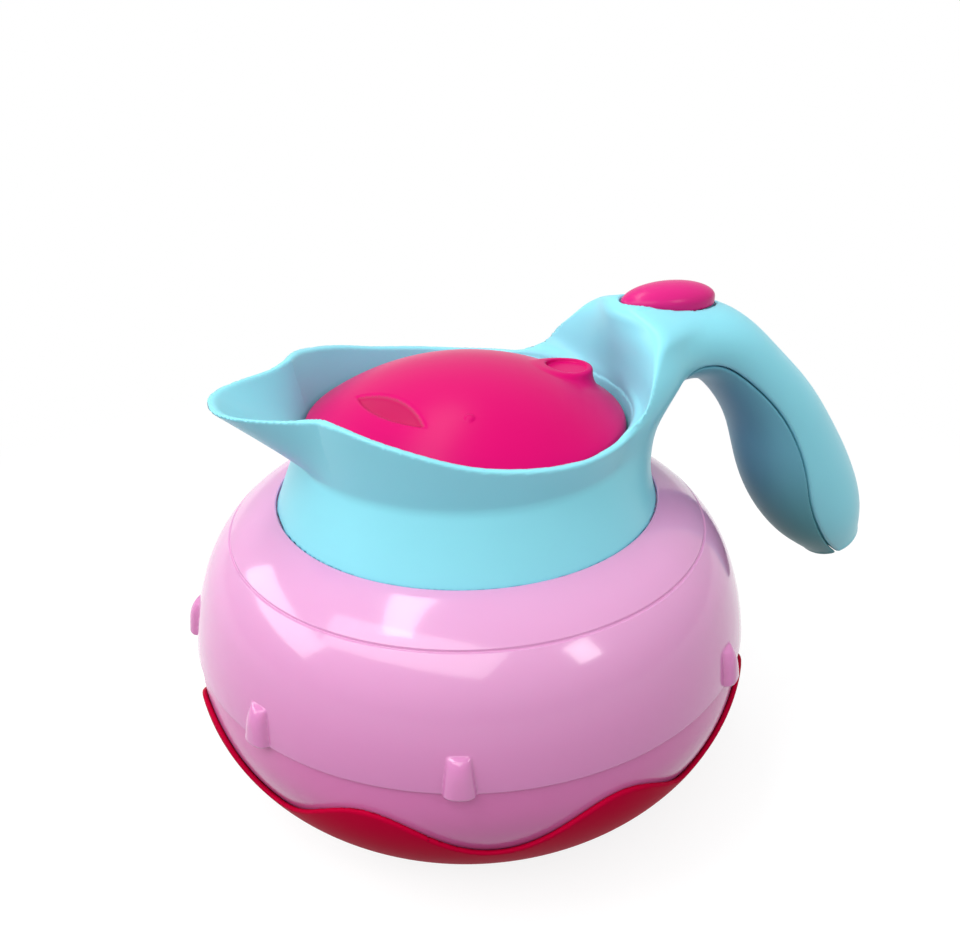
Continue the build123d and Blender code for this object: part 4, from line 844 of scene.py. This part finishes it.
def lower_shell():
    top_z = PARTING_Z - PARTING_SLIT
    p0, p1 = phi_at(LOWER_FOOT_Z, -LOWER_INSET), phi_at(top_z, -LOWER_INSET)
    rows = [belly_row(p, -LOWER_INSET) for p in np.linspace(p0, p1 - 0.6, 34)]
    r, z = belly_row(p1, -LOWER_INSET)[:2]
    rows += plain([(r - 0.01, z - 0.3), (r - 0.1, z - 0.12), (r - 0.28, z)])
    rows += plain([belly_row(p, -WALL)[:2] for p in np.linspace(p1, p0, INSIDE_ROWS)])
    degs = [d * RING_STEP for d in range(TO_FULL_TURN)]
    turned_piece("lower_shell", rows, degs, PINK_LOW, ["lower_bowl"])


# ------------------------------------------------------------------ base cup
CUP_PROUD, CUP_FLOOR = 0.7, 2.2
WAVES, CREST_DEG, CREST_Z, WAVE_DEPTH = 8, -127.5, EQ - 1.0, 12.5
LIP_STEEP, LIP_ROUND, CUP_FOOT_ROUND, CUP_FLOOR_ROUND, POST_BLEND = 0.72, 0.7, 0.8, 0.5, 0.2
POST_AT, POST_DEGS, HEAD_R, HEAD_Z, SHANK_R = 41.0, (180, 60, 300), 2.6, 3.0, 1.4
HEAD_GAP, SHANK_GAP, POST_WALL, POST_UP = 0.3, 0.2, 1.6, 1.2
SPK_X, SPK_R, GRILLE_R, GRILLE_PITCH, GRILLE_MARGIN = 22.0, 17.0, 1.0, 4.2, 4.5
GRILLE_ROWS, HEX = int((SPK_R - 5) / GRILLE_PITCH), 0.866    # rows each way, and their spacing
BAY_X, DOOR_HALF_W, DOOR_HALF_L, TAB_HALF_W, TAB_END = -19.2, 16.35, 28.7, 4.95, 37.45
SWITCH_SLOT = (-0.85, 6.85, 34.35, 37.65)   # x0, x1, y0, y1
LOW_Z = 8                               # the underside's holes and posts are all below this


def lip_height(deg):
    return CREST_Z - WAVE_DEPTH / 2 * (1 - np.cos(np.radians((deg - CREST_DEG) * WAVES)))


def rect_field(p, x0, x1, y0, y1):
    return np.maximum(np.maximum(x0 - p[:, 0], p[:, 0] - x1), np.maximum(y0 - p[:, 1], p[:, 1] - y1))


def cup_field(p):
    z, skin = p[:, 2], belly(p)
    inner = smax(skin + LOWER_INSET - PART_GAP, CUP_FLOOR - z, CUP_FLOOR_ROUND)
    d = smax(skin - CUP_PROUD, -z, CUP_FOOT_ROUND)
    d = smax(d, -inner, SMALL_ROUND)
    d = smax(d, (z - lip_height(polar(p)[1])) * LIP_STEEP, LIP_ROUND)
    low = np.nonzero(z < LOW_Z)[0]
    q = p[low]
    holes, posts = np.full(len(q), OUTSIDE), np.full(len(q), OUTSIDE)
    for i in range(-GRILLE_ROWS, GRILLE_ROWS + 1):
        for j in range(-GRILLE_ROWS, GRILLE_ROWS + 1):
            x, y = (i + 0.5 * (j % 2)) * GRILLE_PITCH, j * GRILLE_PITCH * HEX
            if math.hypot(x, y) < SPK_R - GRILLE_MARGIN:
                holes = np.minimum(holes, around(q, SPK_X + x, y) - GRILLE_R)
    holes = np.minimum(holes, rect_field(q, BAY_X - DOOR_HALF_W, BAY_X + DOOR_HALF_W,
                                         -DOOR_HALF_L, DOOR_HALF_L))
    holes = np.minimum(holes, rect_field(q, BAY_X - TAB_HALF_W, BAY_X + TAB_HALF_W, 0, TAB_END))
    holes = np.minimum(holes, rect_field(q, *SWITCH_SLOT))
    for deg in POST_DEGS:
        c = around(q, POST_AT * math.cos(math.radians(deg)), POST_AT * math.sin(math.radians(deg)))
        ends = np.maximum(q[:, 2] - HEAD_Z - POST_UP, CUP_FLOOR - 0.5 - q[:, 2])
        posts = np.minimum(posts, smax(c - HEAD_R - POST_WALL, ends, SMALL_ROUND))
        holes = np.minimum(holes, c - SHANK_R - SHANK_GAP)
        holes = np.minimum(holes, np.maximum(c - HEAD_R - HEAD_GAP, q[:, 2] - HEAD_Z))
    d[low] = smax(smin(d[low], posts, POST_BLEND), -holes, SMALL_ROUND)
    return d


upper_shell()
lower_shell()
solid("cup_shell", cup_field, (-78, -78, -1.6), (78, 78, 41.5), 0.75, CRIMSON, ["base_cup"])


# ------------------------------------------------------------------ floor
FLOOR_HALF, FLOOR_BELOW = 6.0, 0.0001
FLOOR_TONE, FLOOR_LIFT, FLOOR_ROUGH, FLOOR_SPEC = 0.22, 0.82, 0.9, 0.1
FLOOR_MOTTLE, FLOOR_SCALE = 0.97, 3.0
FADE_FROM, FADE_TO = 0.1, 0.32          # the floor turns to pure white between these, metres from the part


def math_node(tree, operation, first, second):
    """A Math node's result; first is a socket, second a socket or a number."""
    node = tree.nodes.new("ShaderNodeMath")
    node.operation = operation
    tree.links.new(first, node.inputs[0])
    if isinstance(second, float):
        node.inputs[1].default_value = second
    else:
        tree.links.new(second, node.inputs[1])
    return node.outputs[0]


def make_floor():
    mesh = bpy.data.meshes.new("floor")
    s = FLOOR_HALF
    mesh.from_pydata([(-s, -s, 0), (s, -s, 0), (s, s, 0), (-s, s, 0)], [], [(0, 1, 2, 3)])
    ob = bpy.data.objects.new("floor", mesh)
    bpy.context.scene.collection.objects.link(ob)
    mat = bpy.data.materials.new("floor_pale")
    mat.use_nodes = True
    tree = mat.node_tree
    n, l = tree.nodes, tree.links
    shader = n["Principled BSDF"]
    coords, noise, mix = n.new("ShaderNodeTexCoord"), n.new("ShaderNodeTexNoise"), n.new("ShaderNodeMix")
    noise.inputs["Scale"].default_value = FLOOR_SCALE
    l.new(coords.outputs["Object"], noise.inputs["Vector"])
    mix.data_type = "RGBA"
    mix.inputs["A"].default_value = (FLOOR_TONE * FLOOR_MOTTLE,) * 3 + (1,)
    mix.inputs["B"].default_value = (FLOOR_TONE,) * 3 + (1,)
    l.new(noise.outputs["Fac"], mix.inputs["Factor"])
    l.new(mix.outputs["Result"], shader.inputs["Base Color"])
    shader.inputs["Roughness"].default_value = FLOOR_ROUGH
    shader.inputs["Specular IOR Level"].default_value = FLOOR_SPEC

    # seen directly, in gloss or through a clear part, the floor is white
    path = n.new("ShaderNodeLightPath")
    indirect = math_node(tree, "MAXIMUM", path.outputs["Is Glossy Ray"],
                         path.outputs["Is Transmission Ray"])
    seen = math_node(tree, "MAXIMUM", path.outputs["Is Camera Ray"], indirect)
    lift, glow = n.new("ShaderNodeAddShader"), n.new("ShaderNodeEmission")
    l.new(shader.outputs[0], lift.inputs[0])
    l.new(glow.outputs[0], lift.inputs[1])
    l.new(math_node(tree, "MULTIPLY", seen, FLOOR_LIFT), glow.inputs["Strength"])

    # away from the part it fades to pure white
    away, far = n.new("ShaderNodeVectorMath"), n.new("ShaderNodeMapRange")
    away.operation = "LENGTH"
    l.new(coords.outputs["Object"], away.inputs[0])
    far.interpolation_type = "SMOOTHSTEP"
    far.inputs["From Min"].default_value, far.inputs["From Max"].default_value = FADE_FROM, FADE_TO
    l.new(away.outputs["Value"], far.inputs["Value"])
    white, show = n.new("ShaderNodeEmission"), n.new("ShaderNodeMixShader")
    l.new(math_node(tree, "MULTIPLY", far.outputs["Result"], seen), show.inputs[0])
    l.new(lift.outputs[0], show.inputs[1])
    l.new(white.outputs[0], show.inputs[2])
    l.new(show.outputs[0], n["Material Output"].inputs["Surface"])
    mesh.materials.append(mat)
    ob.location.z = -FLOOR_BELOW


make_floor()


# ------------------------------------------------------------------ light
# name, place, aim, width, height, power
LIGHTS = (
    ("key", (-0.6, -0.5, 1.05), (0, 0, 0.05), 1.5, 0.6, 7.8),
    ("side", (-1.0, 0.4, 0.62), (0.03, 0, 0.1), 1.1, 0.35, 4.5),
    ("top", (-0.25, 0.2, 1.25), (0, 0, 0.07), 1.3, 0.22, 5.5),
    ("window", (0.55, -0.9, 0.80), (0, 0, 0.06), 0.22, 0.34, 1.5),
)
WORLD_STRENGTH = 0.64


def area(name, at, to, width, height, power):
    data = bpy.data.lights.new(name, "AREA")
    data.shape = "RECTANGLE"
    data.size, data.size_y, data.energy = width, height, power
    ob = bpy.data.objects.new(name, data)
    bpy.context.scene.collection.objects.link(ob)
    ob.location = at
    ob.rotation_euler = (Vector(to) - Vector(at)).to_track_quat("-Z", "Y").to_euler()


def make_world():
    """Soft light all round; seen directly, or through a clear part, it is white."""
    world = bpy.data.worlds.new("studio")
    bpy.context.scene.world = world
    world.use_nodes = True
    tree = world.node_tree
    n, l = tree.nodes, tree.links
    n["Background"].inputs["Color"].default_value = (1, 1, 1, 1)
    n["Background"].inputs["Strength"].default_value = WORLD_STRENGTH
    white = n.new("ShaderNodeBackground")
    white.inputs["Color"].default_value = (1, 1, 1, 1)
    path, mix = n.new("ShaderNodeLightPath"), n.new("ShaderNodeMixShader")
    l.new(math_node(tree, "MAXIMUM", path.outputs["Is Camera Ray"], path.outputs["Is Transmission Ray"]),
          mix.inputs[0])
    l.new(n["Background"].outputs[0], mix.inputs[1])
    l.new(white.outputs[0], mix.inputs[2])
    l.new(mix.outputs[0], n["World Output"].inputs["Surface"])


for light in LIGHTS:
    area(*light)
make_world()
bpy.context.scene.view_settings.view_transform = "Standard"
